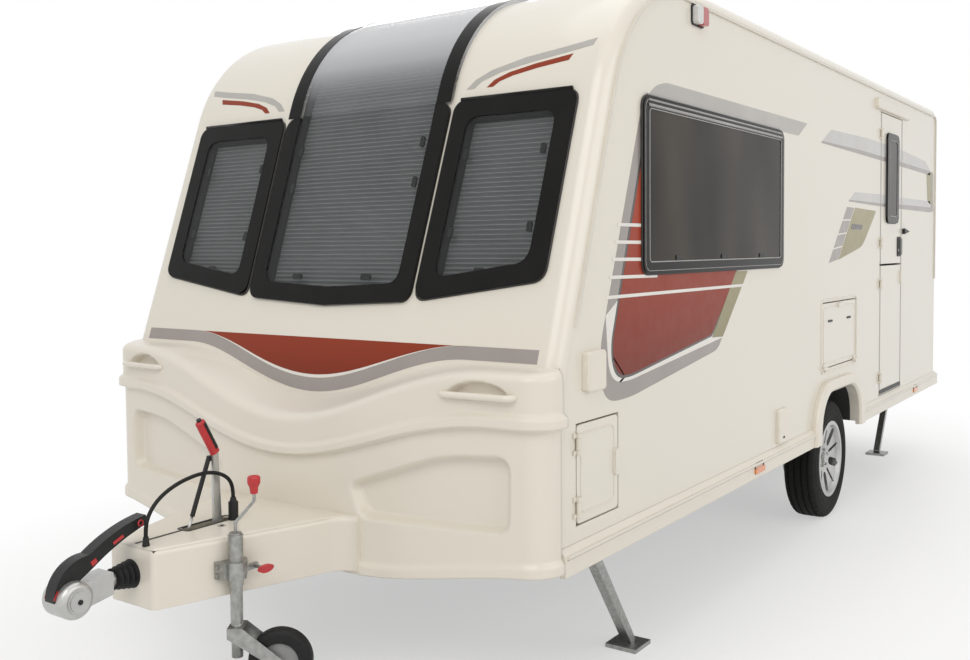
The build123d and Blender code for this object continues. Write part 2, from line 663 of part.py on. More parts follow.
with BuildPart() as lower_front_panel:
    add(panel_prism(SHOULDER_OUT))
    add(shelf.part, mode=Mode.INTERSECT)
    add(below_ridge.part, mode=Mode.SUBTRACT)
    add(ridge.part)
    with BuildSketch(Plane.XY.offset(PANEL_LOW_Z)):
        add(panel_plan(FOOT_PROUD))
    extrude(amount=BASE_Z + FOOT_H - PANEL_LOW_Z)
    with BuildSketch(Plane.YZ):
        for s in (1, -1):
            with BuildLine():
                Polyline((s * COVER_REAR_Y, PANEL_LOW_Z), (s * (PANEL_HALF_W + FOOT_PROUD), BASE_Z),
                         (s * 2 * PANEL_HALF_W, BASE_Z), (s * 2 * PANEL_HALF_W, PANEL_LOW_Z), close=True)
            make_face()
    extrude(amount=2 * PANEL_NOSE_X, mode=Mode.SUBTRACT)
    with BuildSketch(Plane.XY.offset(BASE_Z)):
        with Locations((FRONT_X, 0)):
            Rectangle(FRONT_X, 4 * PANEL_HALF_W, align=(Align.MAX, Align.CENTER))
    extrude(amount=-BASE_Z, mode=Mode.SUBTRACT)
    add(pocket_cut.part, mode=Mode.SUBTRACT)
    add(handle_recess.part, mode=Mode.SUBTRACT)
    add(hull.part, mode=Mode.SUBTRACT)
    add(cover_form.part, mode=Mode.SUBTRACT)
    split(bisect_by=Plane.YZ.offset(PANEL_REAR_X), keep=Keep.TOP)
save(lower_front_panel, "lower_front_panel")

# Grab handles over the recesses in the shoulders of the moulding
HANDLE_R = 11
HANDLE_PATH = [(66, -141), (140, -127), (120, 127), (46, 143)]
with BuildPart() as grab_handles:
    for side in (1, -1):
        with BuildLine() as bar:
            FilletPolyline(*[(FRONT_X + x, side * (HANDLE_Y + y), HANDLE_Z) for x, y in HANDLE_PATH], radius=24)
        with BuildSketch(Plane(origin=bar.line @ 0, z_dir=bar.line % 0)):
            Circle(HANDLE_R)
        sweep(path=bar.line)
    add(lower_front_panel.part, mode=Mode.SUBTRACT)
    add(hull.part, mode=Mode.SUBTRACT)
save(grab_handles, "grab_handles")

# Front windows: black borders, panes and blinds behind them, and the curved skylight above
with BuildPart() as front_window_frames:
    with BuildSketch(front_plane):
        for corners, side in FRONT_WINDOWS:
            add(front_window(corners, 0, side))
            add(front_window(corners, FRONT_BORDER, side), mode=Mode.SUBTRACT)
        add(centre_upper(), mode=Mode.SUBTRACT)
    extrude(amount=FRAME_PROUD)
save(front_window_frames, "front_window_frames")

with BuildPart() as front_window_glass:
    with BuildSketch(front_plane.offset(FRAME_PROUD - GLASS_T - 2)):
        for corners, side in FRONT_WINDOWS:
            add(front_window(corners, FRONT_BORDER, side))
        add(centre_upper())
    extrude(amount=GLASS_T)
save(front_window_glass, "front_window_glass")

BLIND_LAP = 24
with BuildPart() as front_blinds:
    with BuildSketch(front_plane.offset(-WALL)):
        for corners, side in FRONT_WINDOWS:
            add(front_window(corners, FRONT_BORDER - BLIND_LAP, side))
    extrude(amount=-BLIND_T)
    with BuildSketch(Plane.XZ):
        add(body_outline(WALL))
        add(body_outline(WALL + BLIND_T, BASE_Z - WALL), mode=Mode.SUBTRACT)
        with Locations((FRONT_SEAM_X + WALL, OPEN_TOP_Z)):
            Rectangle(2 * FRONT_X, ROOF_Z, align=(Align.MIN, Align.MIN), mode=Mode.INTERSECT)
    extrude(amount=OPEN_HALF_W + BLIND_LAP, both=True)
save(front_blinds, "front_blinds")

with BuildPart() as front_skylight:
    with BuildSketch(Plane.XZ):
        add(body_outline(-FRAME_PROUD))
        add(body_outline(0, BASE_Z - WALL), mode=Mode.SUBTRACT)
        with Locations((SKYLIGHT_REAR_X, SKYLIGHT_Z)):
            Rectangle(2 * FRONT_X, ROOF_Z, align=(Align.MIN, Align.MIN), mode=Mode.INTERSECT)
    extrude(amount=SKYLIGHT_HALF_W, both=True)
save(front_skylight, "front_skylight")

# Side and rear windows: frames and panes
y0, y1, z0, z1 = REAR_WINDOW
rear_plane = Plane(origin=(REAR_X, 0, 0), x_dir=(0, -1, 0), z_dir=(-1, 0, 0))
rear_size = (y1 - y0, z1 - z0)
with BuildPart() as window_frames:
    for side, x0, x1, z_low, z_high in SIDE_WINDOWS:
        with BuildSketch(side_plane(side, HALF_WIDTH)):
            with Locations((-side * (x0 + x1) / 2, (z_low + z_high) / 2)):
                RectangleRounded(x0 - x1, z_high - z_low, SIDE_WINDOW_CORNER)
                RectangleRounded(x0 - x1 - 2 * SIDE_BORDER, z_high - z_low - 2 * SIDE_BORDER, SIDE_WINDOW_CORNER / 2,
                                 mode=Mode.SUBTRACT)
        extrude(amount=FRAME_PROUD)
    with BuildSketch(rear_plane):
        with Locations((0, (z0 + z1) / 2)):
            RectangleRounded(*rear_size, SIDE_WINDOW_CORNER)
            RectangleRounded(rear_size[0] - 2 * SIDE_BORDER, rear_size[1] - 2 * SIDE_BORDER, SIDE_WINDOW_CORNER / 2,
                             mode=Mode.SUBTRACT)
    extrude(amount=FRAME_PROUD)
save(window_frames, "window_frames")

with BuildPart() as window_glass:
    for side, x0, x1, z_low, z_high in SIDE_WINDOWS:
        with BuildSketch(side_plane(side, HALF_WIDTH + FRAME_PROUD - GLASS_T - 2)):
            with Locations((-side * (x0 + x1) / 2, (z_low + z_high) / 2)):
                RectangleRounded(x0 - x1 - 2 * SIDE_BORDER, z_high - z_low - 2 * SIDE_BORDER, SIDE_WINDOW_CORNER / 2)
        extrude(amount=GLASS_T)
    with BuildSketch(rear_plane.offset(FRAME_PROUD - GLASS_T - 2)):
        with Locations((0, (z0 + z1) / 2)):
            RectangleRounded(rear_size[0] - 2 * SIDE_BORDER, rear_size[1] - 2 * SIDE_BORDER, SIDE_WINDOW_CORNER / 2)
    extrude(amount=GLASS_T)
save(window_glass, "window_glass")

# Lids: leaf in the wall's thickness, hinge knuckles and a lock boss
LOCK = {"gas_locker_door": (1896, 796), "service_hatch": (-820, 1212), "cassette_door": (-2716, 850),
        "door_upper": (-2235, 1560), "door_lower": (-2235, 1330)}
LOCK_W, LOCK_H, LOCK_T = 34, 92, 12
win_x0, win_x1, win_z0, win_z1 = DOOR_WINDOW
for lid in LIDS:
    name, side, x0, x1, z0, z1, edge, places = lid
    with BuildPart() as leaf:
        with BuildSketch(side_plane(side, HALF_WIDTH)):
            with Locations((-side * (x0 + x1) / 2, (z0 + z1) / 2)):
                RectangleRounded(x0 - x1 - 2 * GAP, z1 - z0 - 2 * GAP, LID_CORNER)
        extrude(amount=-WALL)
        for plane in lid_hinges(lid):
            add(knuckle(plane))
        lock_x, lock_z = LOCK[name]
        with BuildSketch(side_plane(side, HALF_WIDTH)):
            with Locations((-side * lock_x, lock_z)):
                if edge == "bottom":
                    RectangleRounded(LOCK_H, LOCK_W * 0.7, 8)
                else:
                    RectangleRounded(LOCK_W, LOCK_H, 8)
        extrude(amount=LOCK_T)
        if name == "door_upper":
            with BuildSketch(side_plane(side, HALF_WIDTH)):
                side_rect(side, win_x0, win_x1, win_z0, win_z1, SIDE_WINDOW_CORNER, -SIDE_BORDER / 2)
            extrude(amount=-WALL, mode=Mode.SUBTRACT)
    save(leaf, name)

with BuildPart() as hinge_pins:
    for lid in LIDS:
        for plane in lid_hinges(lid):
            add(ears(plane))
save(hinge_pins, "hinge_pins")

with BuildPart() as door_window_frame:
    with BuildSketch(side_plane(1, HALF_WIDTH)):
        side_rect(1, win_x0, win_x1, win_z0, win_z1, SIDE_WINDOW_CORNER)
        with Locations((-(win_x0 + win_x1) / 2, (win_z0 + win_z1) / 2)):
            RectangleRounded(win_x0 - win_x1 - 2 * SIDE_BORDER, win_z1 - win_z0 - 2 * SIDE_BORDER,
                             SIDE_WINDOW_CORNER / 2, mode=Mode.SUBTRACT)
    extrude(amount=FRAME_PROUD)
save(door_window_frame, "door_window_frame")

with BuildPart() as door_window_glass:
    with BuildSketch(side_plane(1, HALF_WIDTH + FRAME_PROUD - GLASS_T - 2)):
        with Locations((-(win_x0 + win_x1) / 2, (win_z0 + win_z1) / 2)):
            RectangleRounded(win_x0 - win_x1 - 2 * SIDE_BORDER, win_z1 - win_z0 - 2 * SIDE_BORDER,
                             SIDE_WINDOW_CORNER / 2)
    extrude(amount=GLASS_T)
save(door_window_glass, "door_window_glass")

# Fittings on the walls: x0, x1, z0, z1, proud, sides
HOOD = (-1560, -2400, ROOF_Z - 177, ROOF_Z - 113, 24, (1,))
WALL_FITTINGS = {
    "wall_boxes": [HOOD, (2128, 2006, 1065, 1200, 28, (1,)), (235, 100, 585, 752, 18, (1,)),
                   (1700, 1500, 640, 800, 14, (-1,))],
}
FITTING_CORNER = 14
for name, rows in WALL_FITTINGS.items():
    with BuildPart() as fitting:
        for x0, x1, z0, z1, proud, sides in rows:
            for side in sides:
                with BuildSketch(side_plane(side, HALF_WIDTH)):
                    side_rect(side, x0, x1, z0, z1, FITTING_CORNER)
                extrude(amount=proud)
        outer = fitting.faces().filter_by(Axis.Y).filter_by(lambda f: abs(f.center().Y) > HALF_WIDTH + 1)
        chamfer(outer.edges(), 5)
    save(fitting, name)

# Lamps: side repeaters in the skirts, markers high on the front corners, clusters at the rear
SKIRT_LAMP_X = (517, -2626)
SKIRT_LAMP = (118, 26, 8)
MARKER = (1188, ROOF_Z - 109, 104, 64, 26)
REAR_LAMP = (190, 120, 16)
REAR_LAMP_Y, REAR_LAMP_Z = HALF_WIDTH - 220, 760
with BuildPart() as lamps:
    for side in (1, -1):
        with BuildSketch(side_plane(side, HALF_WIDTH)):
            with Locations((-side * MARKER[0], MARKER[1])):
                RectangleRounded(MARKER[2], MARKER[3], FITTING_CORNER)
        extrude(amount=MARKER[4])
        with BuildSketch(side_plane(side, HALF_WIDTH + SKIRT_T)):
            with Locations(*[(-side * x, (SKIRT_Z + SKIRT_TOP_Z - SKIRT_T) / 2) for x in SKIRT_LAMP_X]):
                RectangleRounded(SKIRT_LAMP[0], SKIRT_LAMP[1], 8)
        extrude(amount=SKIRT_LAMP[2])
    with BuildSketch(rear_plane):
        with Locations((-REAR_LAMP_Y, REAR_LAMP_Z), (REAR_LAMP_Y, REAR_LAMP_Z)):
            RectangleRounded(REAR_LAMP[0], REAR_LAMP[1], 24)
    extrude(amount=REAR_LAMP[2])
save(lamps, "lamps")

# Offside fridge vents: frames with louvre slats
VENT_X, VENT_W, VENT_H, VENT_Z = 250, 460, 190, (760, 1160)
VENT_T, VENT_RIM, SLATS = 12, 22, 6
with BuildPart() as fridge_vents:
    for z in VENT_Z:
        with BuildSketch(side_plane(-1, HALF_WIDTH)):
            with Locations((VENT_X, z)):
                RectangleRounded(VENT_W, VENT_H, FITTING_CORNER)
        extrude(amount=VENT_T)
        with BuildSketch(side_plane(-1, HALF_WIDTH + VENT_T)):
            with Locations((VENT_X, z)):
                with GridLocations(0, (VENT_H - 2 * VENT_RIM) / SLATS, 1, SLATS):
                    Rectangle(VENT_W - 2 * VENT_RIM, (VENT_H - 2 * VENT_RIM) / SLATS / 2)
        extrude(amount=-VENT_T / 2, mode=Mode.SUBTRACT)
save(fridge_vents, "fridge_vents")

# Rear bumper
BUMPER_T = 20
BUMPER_TOP_Z = 640
with BuildPart() as rear_bumper:
    with BuildSketch(Plane.XY.offset(SKIRT_Z)):
        with Locations((REAR_X - BUMPER_T, 0)):
            Rectangle(BUMPER_T, 2 * (HALF_WIDTH - EDGE_R), align=(Align.MIN, Align.CENTER))
    extrude(amount=BUMPER_TOP_Z - SKIRT_Z)
    chamfer(rear_bumper.edges().group_by(Axis.X)[0], 8)
save(rear_bumper, "rear_bumper")

# Roof vent: kerb and domed lid
with BuildPart() as roof_vent:
    with BuildSketch(Plane.XY.offset(ROOF_Z)):
        with Locations((ROOF_VENT_X, 0)):
            RectangleRounded(ROOF_VENT + 100, ROOF_VENT + 100, 50)
    extrude(amount=50, taper=12)
    fillet(roof_vent.faces().sort_by(Axis.Z)[-1].edges(), 16)
save(roof_vent, "roof_vent")

# Overrun housing, drawtube, bellows, coupling head and stabiliser handle
TUBE_Z = BALL_Z + DRAWTUBE_R
HOUSING_X0, HOUSING_W, HOUSING_H = 2740, 84, 84
HEAD_X0 = 3200
with BuildPart() as overrun_device:
    with Locations(((HOUSING_X0 + COVER_FRONT_X - 2 * COVER_T) / 2, 0, BASE_Z + HOUSING_H / 2)):
        Box(COVER_FRONT_X - 2 * COVER_T - HOUSING_X0, HOUSING_W, HOUSING_H)
    with BuildSketch(Plane.YZ.offset(COVER_FRONT_X - 2 * COVER_T)):
        with Locations((0, TUBE_Z)):
            Circle(DRAWTUBE_R)
    extrude(amount=HEAD_X0 - COVER_FRONT_X + 2 * COVER_T)
save(overrun_device, "overrun_device")

BELLOWS_X1 = 3180
FOLDS = 4
with BuildPart() as bellows:
    with BuildSketch(Plane.XZ):
        pitch = (BELLOWS_X1 - COVER_FRONT_X) / FOLDS
        with BuildLine():
            ridges = [(COVER_FRONT_X, TUBE_Z + BELLOWS_R)]
            for k in range(FOLDS):
                low_r = BELLOWS_R - 12 - 2 * k
                ridges.append((COVER_FRONT_X + (k + 0.5) * pitch, TUBE_Z + low_r))
                ridges.append((COVER_FRONT_X + (k + 1) * pitch, TUBE_Z + BELLOWS_R - 3 * (k + 1)))
            Polyline(*ridges, (BELLOWS_X1, TUBE_Z + DRAWTUBE_R), (COVER_FRONT_X, TUBE_Z + DRAWTUBE_R), close=True)
        make_face()
    revolve(axis=Axis((0, 0, TUBE_Z), (1, 0, 0)))
save(bellows, "bellows")

HEAD_W = 112
HEAD_Z = BALL_Z + 10
with BuildPart() as coupling_head:
    with BuildSketch(Plane.XZ):
        with Locations((BALL_X, HEAD_Z)):
            Circle(HEAD_R)
    extrude(amount=HEAD_W / 2, both=True)
    fillet(coupling_head.edges(), 18)
    with BuildSketch(Plane.XZ):
        with BuildLine():
            Polyline((HEAD_X0, TUBE_Z + 34), (HEAD_X0, TUBE_Z - 34), (BALL_X, BALL_Z - 30),
                     (BALL_X, BALL_Z + 50), close=True)
        make_face()
    extrude(amount=38, both=True)
    with BuildSketch(Plane.XY.offset(BALL_Z - 2 * HEAD_R)):
        with Locations((BALL_X, 0)):
            Circle(BALL_R + SOCKET_FIT)
    extrude(amount=2 * HEAD_R + BALL_R, mode=Mode.SUBTRACT)
save(coupling_head, "coupling_head")

HANDLE_W = 46


def on_head(angle, radius=HEAD_R):
    """Point beside the round head, at an angle from the front."""
    return (BALL_X + radius * cos(radians(angle)), HEAD_Z + radius * sin(radians(angle)))


with BuildPart() as stabiliser_handle:
    with BuildSketch(Plane.XZ):
        with BuildLine():
            nose, crest = (BUMPER_T - REAR_X, on_head(4)[1]), (3270, 634)
            tail_top, tail_low = (3068, 712), (3060, 684)
            ThreePointArc(nose, on_head(64, HEAD_R + 26), crest)
            ThreePointArc(crest, (3180, 682), tail_top)
            Line(tail_top, tail_low)
            ThreePointArc(tail_low, (3165, 645), (3258, 592))
            Line((3258, 592), on_head(118))
            ThreePointArc(on_head(118), on_head(61), on_head(4))
            Line(on_head(4), nose)
        make_face()
    extrude(amount=HANDLE_W / 2, both=True)
    add(coupling_head.part, mode=Mode.SUBTRACT)
save(stabiliser_handle, "stabiliser_handle")

# Handbrake lever with its gas strut, standing on the overrun housing, and a grip that leans forward
HOUSING_TOP_Z = BASE_Z + HOUSING_H
BRAKE_X, GRIP_X, GRIP_Z, GRIP_L, GRIP_LEAN = 2764, 2768, 866, 132, 29
LEVER_T = 10
with BuildPart() as handbrake:
    with BuildSketch(Plane.XZ):
        with BuildLine():
            Polyline((BRAKE_X - 18, HOUSING_TOP_Z), (BRAKE_X + 18, HOUSING_TOP_Z), (GRIP_X + 11, GRIP_Z),
                     (GRIP_X - 11, GRIP_Z), close=True)
        make_face()
    extrude(amount=LEVER_T / 2, both=True)
save(handbrake, "handbrake")

grip_dir = (sin(radians(GRIP_LEAN)), 0, cos(radians(GRIP_LEAN)))
with BuildPart() as handbrake_grip:
    with BuildSketch(Plane(origin=(GRIP_X, 0, GRIP_Z - 8), x_dir=(grip_dir[2], 0, -grip_dir[0]), z_dir=grip_dir)):
        SlotOverall(36, 26)
    extrude(amount=GRIP_L)
    fillet(handbrake_grip.faces().sort_by(Axis.Z)[-1].edges(), 8)
    add(handbrake.part, mode=Mode.SUBTRACT)
save(handbrake_grip, "handbrake_grip")

STRUT_Y = 12
STRUT_FOOT_X, STRUT_TOP = 2884, (2786, 838)
STRUT_ROD_R, STRUT_BODY_R, STRUT_ROD_L = 4.5, 8, 66
with BuildPart() as brake_strut:
    foot = Vector(STRUT_FOOT_X, -STRUT_Y, HOUSING_TOP_Z + 10)
    head = Vector(STRUT_TOP[0], -STRUT_Y, STRUT_TOP[1])
    along = (head - foot).normalized()
    with BuildSketch(Plane(origin=foot, z_dir=along)):
        Circle(STRUT_ROD_R)
    extrude(amount=(head - foot).length)
    with BuildSketch(Plane(origin=foot + along * STRUT_ROD_L, z_dir=along)):
        Circle(STRUT_BODY_R)
    extrude(amount=(head - foot).length - STRUT_ROD_L)
    with Locations((STRUT_FOOT_X, -STRUT_Y, HOUSING_TOP_Z + 8)):
        Box(20, 14, 16)
    with Locations((STRUT_TOP[0] - 8, -STRUT_Y, STRUT_TOP[1])):
        Box(22, 14, 18)
save(brake_strut, "brake_strut")

# Jockey wheel: tube on a clamp beside the cover, crank, castor fork and wheel
JOCKEY_TOP_Z = 640
JOCKEY_LOW_Z = 346
JOCKEY_INNER_R = 20
STEM_R = 10
trail_dir = Vector(cos(radians(JOCKEY_TURN)), sin(radians(JOCKEY_TURN)), 0)
CRANK_R = 5
KNOB_R = 21
KNOB_Z = 765
knob_at = Vector(JOCKEY_X, JOCKEY_Y, 0) + trail_dir * 62
with BuildPart() as jockey_tube:
    with Locations((JOCKEY_X, JOCKEY_Y, JOCKEY_LOW_Z)):
        Cylinder(JOCKEY_INNER_R, JOCKEY_TOP_Z - JOCKEY_LOW_Z, align=(Align.CENTER, Align.CENTER, Align.MIN))
    with Locations((JOCKEY_X, JOCKEY_Y, 470)):
        Cylinder(JOCKEY_TUBE_R, JOCKEY_TOP_Z - 470 - 6, align=(Align.CENTER, Align.CENTER, Align.MIN))
    with Locations((JOCKEY_X, JOCKEY_Y, JOCKEY_LOW_Z)):
        Cylinder(STEM_R + RUN_FIT, 90, align=(Align.CENTER, Align.CENTER, Align.MIN), mode=Mode.SUBTRACT)
    with BuildLine() as rod:
        FilletPolyline((JOCKEY_X, JOCKEY_Y, JOCKEY_TOP_Z), (JOCKEY_X, JOCKEY_Y, 672), (knob_at.X, knob_at.Y, 742),
                       (knob_at.X, knob_at.Y, KNOB_Z), radius=16)
    with BuildSketch(Plane.XY.offset(JOCKEY_TOP_Z)):
        with Locations((JOCKEY_X, JOCKEY_Y)):
            Circle(CRANK_R)
    sweep(path=rod.line)
save(jockey_tube, "jockey_tube")

CLAMP_Z, CLAMP_H = 520, 56
with BuildPart() as jockey_clamp:
    with Locations((JOCKEY_X, JOCKEY_Y, CLAMP_Z)):
        Cylinder(JOCKEY_TUBE_R + 10, CLAMP_H)
    with Locations((JOCKEY_X, JOCKEY_Y - 30, CLAMP_Z)):
        Box(96, 60, CLAMP_H)
    with Locations((JOCKEY_X - 50, JOCKEY_Y + 16, CLAMP_Z)):
        Box(50, 14, 18)
    with Locations((JOCKEY_X, JOCKEY_Y, CLAMP_Z)):
        Cylinder(JOCKEY_TUBE_R, 2 * CLAMP_H, mode=Mode.SUBTRACT)
    add(cover_form.part, mode=Mode.SUBTRACT)
save(jockey_clamp, "jockey_clamp")

with BuildPart() as jockey_knob:
    with BuildSketch(Plane(origin=(knob_at.X, knob_at.Y, 0), x_dir=(1, 0, 0), z_dir=(0, -1, 0))):
        with BuildLine():
            knob_side = [(0, 0), (12, 0), (14, 20), (KNOB_R, 35), (KNOB_R, 57), (0, 61)]
            FilletPolyline(*[(r, KNOB_Z + h) for r, h in knob_side], radius=[4, 4, 6, 8])
            Line((0, KNOB_Z + knob_side[-1][1]), (0, KNOB_Z))
        make_face()
    revolve(axis=Axis((knob_at.X, knob_at.Y, 0), (0, 0, 1)))
save(jockey_knob, "jockey_knob")

FORK_GAP = 34.5
FORK_T = 5
JOCKEY_PIN_R = 6
fork_plane = Plane(origin=(JOCKEY_X, JOCKEY_Y, 0), x_dir=trail_dir, z_dir=trail_dir.cross(Vector(0, 0, 1)))
FORK_CROWN_Z = JOCKEY_LOW_Z - 6
with BuildPart() as jockey_fork:
    for start in (FORK_GAP, -FORK_GAP - FORK_T):
        with BuildSketch(fork_plane.offset(start)):
            with BuildLine():
                Polyline((-24, FORK_CROWN_Z), (24, FORK_CROWN_Z), (JOCKEY_TRAIL + 16, JOCKEY_AXLE_Z + 10),
                         (JOCKEY_TRAIL + 10, JOCKEY_AXLE_Z - 16), (JOCKEY_TRAIL - 12, JOCKEY_AXLE_Z - 14),
                         (-24, FORK_CROWN_Z - 34), close=True)
            make_face()
        extrude(amount=FORK_T)
    with BuildSketch(fork_plane):
        with Locations((0, FORK_CROWN_Z - 4)):
            Rectangle(48, 8)
    extrude(amount=FORK_GAP + FORK_T, both=True)
    with BuildSketch(fork_plane):
        with Locations((JOCKEY_TRAIL, JOCKEY_AXLE_Z)):
            Circle(JOCKEY_PIN_R)
    extrude(amount=FORK_GAP + FORK_T, both=True)
    with Locations((JOCKEY_X, JOCKEY_Y, FORK_CROWN_Z - 2)):
        Cylinder(STEM_R, 80, align=(Align.CENTER, Align.CENTER, Align.MIN))
save(jockey_fork, "jockey_fork")

JOCKEY_RIM_R = 62
with BuildPart() as jockey_wheel:
    with BuildSketch(fork_plane):
        with Locations((JOCKEY_TRAIL, JOCKEY_AXLE_Z)):
            Circle(JOCKEY_RIM_R)
            Circle(JOCKEY_PIN_R + RUN_FIT, mode=Mode.SUBTRACT)
    extrude(amount=JOCKEY_W / 2 - 8, both=True)
    with BuildSketch(fork_plane):
        with Locations((JOCKEY_TRAIL, JOCKEY_AXLE_Z)):
            Circle(17)
            Circle(JOCKEY_PIN_R + RUN_FIT, mode=Mode.SUBTRACT)
    extrude(amount=FORK_GAP - AXIAL, both=True)
save(jockey_wheel, "jockey_wheel")

with BuildPart() as jockey_tyre:
    with BuildSketch(fork_plane):
        with Locations((JOCKEY_TRAIL, JOCKEY_AXLE_Z)):
            Circle(JOCKEY_R)
            Circle(JOCKEY_RIM_R, mode=Mode.SUBTRACT)
    extrude(amount=JOCKEY_W / 2, both=True)
    fillet(jockey_tyre.edges().filter_by(lambda e: e.length > 2 * JOCKEY_R * 3), 16)
save(jockey_tyre, "jockey_tyre")

# Steadies: name, pivot x, foot x, y
STEADIES = [
    ("steady_front_left", 1850, 1555, 945),
    ("steady_front_right", 1850, 1555, -945),
    ("steady_rear_left", -3050, -2755, 800),
    ("steady_rear_right", -3050, -2755, -800),
]
STEADY_W = 40
BRACKET_T = 6
BRACKET_GAP = STEADY_W / 2 + 6
ANKLE_Z = 28
for name, pivot_x, foot_x, y in STEADIES:
    with BuildPart() as leg:
        with BuildSketch(Plane.XZ.offset(-y)):
            with Locations((pivot_x, STEADY_PIVOT_Z)):
                Circle(22)
            with Locations((foot_x, ANKLE_Z)):
                Circle(18)
            lean = Vector(foot_x - pivot_x, ANKLE_Z - STEADY_PIVOT_Z).normalized()
            nx, nz = -lean.Y, lean.X
            with BuildLine():
                Polyline((pivot_x + 21 * nx, STEADY_PIVOT_Z + 21 * nz), (foot_x + 17 * nx, ANKLE_Z + 17 * nz),
                         (foot_x - 17 * nx, ANKLE_Z - 17 * nz), (pivot_x - 21 * nx, STEADY_PIVOT_Z - 21 * nz),
                         close=True)
            make_face()
            with Locations((pivot_x, STEADY_PIVOT_Z)):
                Circle(STEADY_PIN_R + RUN_FIT, mode=Mode.SUBTRACT)
        extrude(amount=STEADY_W / 2, both=True)
        with Locations((foot_x, y, 0)):
            Box(STEADY_PAD, STEADY_PAD, STEADY_PAD_T, align=(Align.CENTER, Align.CENTER, Align.MIN))
        with Locations((foot_x, y, -STEADY_PAD)):
            Box(2 * STEADY_PAD, 2 * STEADY_PAD, STEADY_PAD, align=(Align.CENTER, Align.CENTER, Align.MIN),
                mode=Mode.SUBTRACT)
    save(leg, name)

with BuildPart() as steady_brackets:
    for name, pivot_x, foot_x, y in STEADIES:
        with Locations((pivot_x, y, BASE_Z)):
            Box(70, 2 * (BRACKET_GAP + BRACKET_T), BRACKET_T, align=(Align.CENTER, Align.CENTER, Align.MAX))
        for start in (BRACKET_GAP, -BRACKET_GAP - BRACKET_T):
            with Locations((pivot_x, y + start, STEADY_PIVOT_Z - 22)):
                Box(60, BRACKET_T, BASE_Z - STEADY_PIVOT_Z + 22, align=(Align.CENTER, Align.MIN, Align.MIN))
        with BuildSketch(Plane.XZ.offset(-y)):
            with Locations((pivot_x, STEADY_PIVOT_Z)):
                Circle(STEADY_PIN_R)
        extrude(amount=BRACKET_GAP + BRACKET_T, both=True)
save(steady_brackets, "steady_brackets")

# Road-lamp cable: from a gland on the cover's front up in an arch and down to its plug
CABLE_R = 6.5
CABLE_ROUTE = [(3090, 50, 650), (3090, 50, 688), (3071, 49, 727), (3036, 47, 760), (2985, 45, 785),
               (2925, 43, 801), (2855, 41, 808), (2795, 40, 798), (2749, 39, 774), (2724, 37, 738), (2724, 37, 700)]


def route_radii(points):
    """Largest bend radius that each corner's two runs allow."""
    radii = []
    for a, b, c in zip(points, points[1:], points[2:]):
        before, after = Vector(*b) - Vector(*a), Vector(*c) - Vector(*b)
        turn = radians(before.get_angle(after))
        radii.append(0.45 * min(before.length, after.length) / tan(turn / 2))
    return radii


with BuildPart() as cable:
    with BuildLine() as route:
        FilletPolyline(*CABLE_ROUTE, radius=route_radii(CABLE_ROUTE))
    with BuildSketch(Plane(origin=route.line @ 0, z_dir=route.line % 0)):
        Circle(CABLE_R)
    sweep(path=route.line)
save(cable, "cable")
cable_length = sum(edge.length for edge in route.edges())
print("cable radii", [round(r) for r in route_radii(CABLE_ROUTE)], "length", round(cable_length),
      "volume ratio", round(cable.part.volume / (cable_length * pi * CABLE_R**2), 4))

GLAND_R = 12
with BuildPart() as cable_gland:
    gx, gy, gz = CABLE_ROUTE[0]
    with BuildSketch(Plane.XY.offset(COVER_TOP_Z)):
        with Locations((gx, gy)):
            Circle(GLAND_R)
    extrude(amount=gz - COVER_TOP_Z, taper=7)
save(cable_gland, "cable_gland")

PLUG_R = 17
with BuildPart() as cable_plug:
    px, py, pz = CABLE_ROUTE[-1]
    with BuildSketch(Plane.XY.offset(COVER_TOP_Z)):
        with Locations((px, py)):
            Circle(PLUG_R)
    extrude(amount=pz - COVER_TOP_Z - 16)
    with BuildSketch(Plane.XY.offset(pz - 16)):
        with Locations((px, py)):
            Circle(PLUG_R - 4)
    extrude(amount=16, taper=14)
save(cable_plug, "cable_plug")
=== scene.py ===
"""Travel caravan: paint, glass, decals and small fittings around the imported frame. Metres."""
from math import asin, atan2, cos, hypot, pi, radians, sin, sqrt, tan

import bmesh
import bpy
from mathutils import Matrix, Vector


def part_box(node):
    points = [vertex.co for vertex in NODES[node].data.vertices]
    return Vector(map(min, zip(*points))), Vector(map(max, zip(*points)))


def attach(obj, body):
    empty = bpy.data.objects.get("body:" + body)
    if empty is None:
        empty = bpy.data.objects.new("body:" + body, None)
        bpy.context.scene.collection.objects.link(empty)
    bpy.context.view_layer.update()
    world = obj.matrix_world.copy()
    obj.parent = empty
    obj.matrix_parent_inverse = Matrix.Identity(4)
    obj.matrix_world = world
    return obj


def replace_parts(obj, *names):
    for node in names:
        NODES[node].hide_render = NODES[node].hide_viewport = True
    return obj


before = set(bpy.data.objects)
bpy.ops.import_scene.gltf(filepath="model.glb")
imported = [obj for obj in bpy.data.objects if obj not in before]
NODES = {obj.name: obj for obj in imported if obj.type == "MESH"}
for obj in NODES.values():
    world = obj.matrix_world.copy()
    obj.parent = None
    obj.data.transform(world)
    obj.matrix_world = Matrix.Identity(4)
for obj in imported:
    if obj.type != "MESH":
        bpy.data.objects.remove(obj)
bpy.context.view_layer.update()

# Sizes shared with the solids
HALF_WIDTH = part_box("side_wall_left")[1].y
FRONT_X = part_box("front_panel")[1].x
ROOF_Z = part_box("roof_panel")[1].z
REAR_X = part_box("rear_panel")[0].x
RAKE = radians(18.9)
KNEE_Z = 1.1
KNEE_R = 0.3
BROW_R = 0.65
FRAME_PROUD = 0.014
FRONT_BORDER = 0.072
LIFT = 0.0008
SCENE = bpy.context.scene


def vec(*parts):
    """A vector from its parts."""
    return Vector(parts)


# Materials

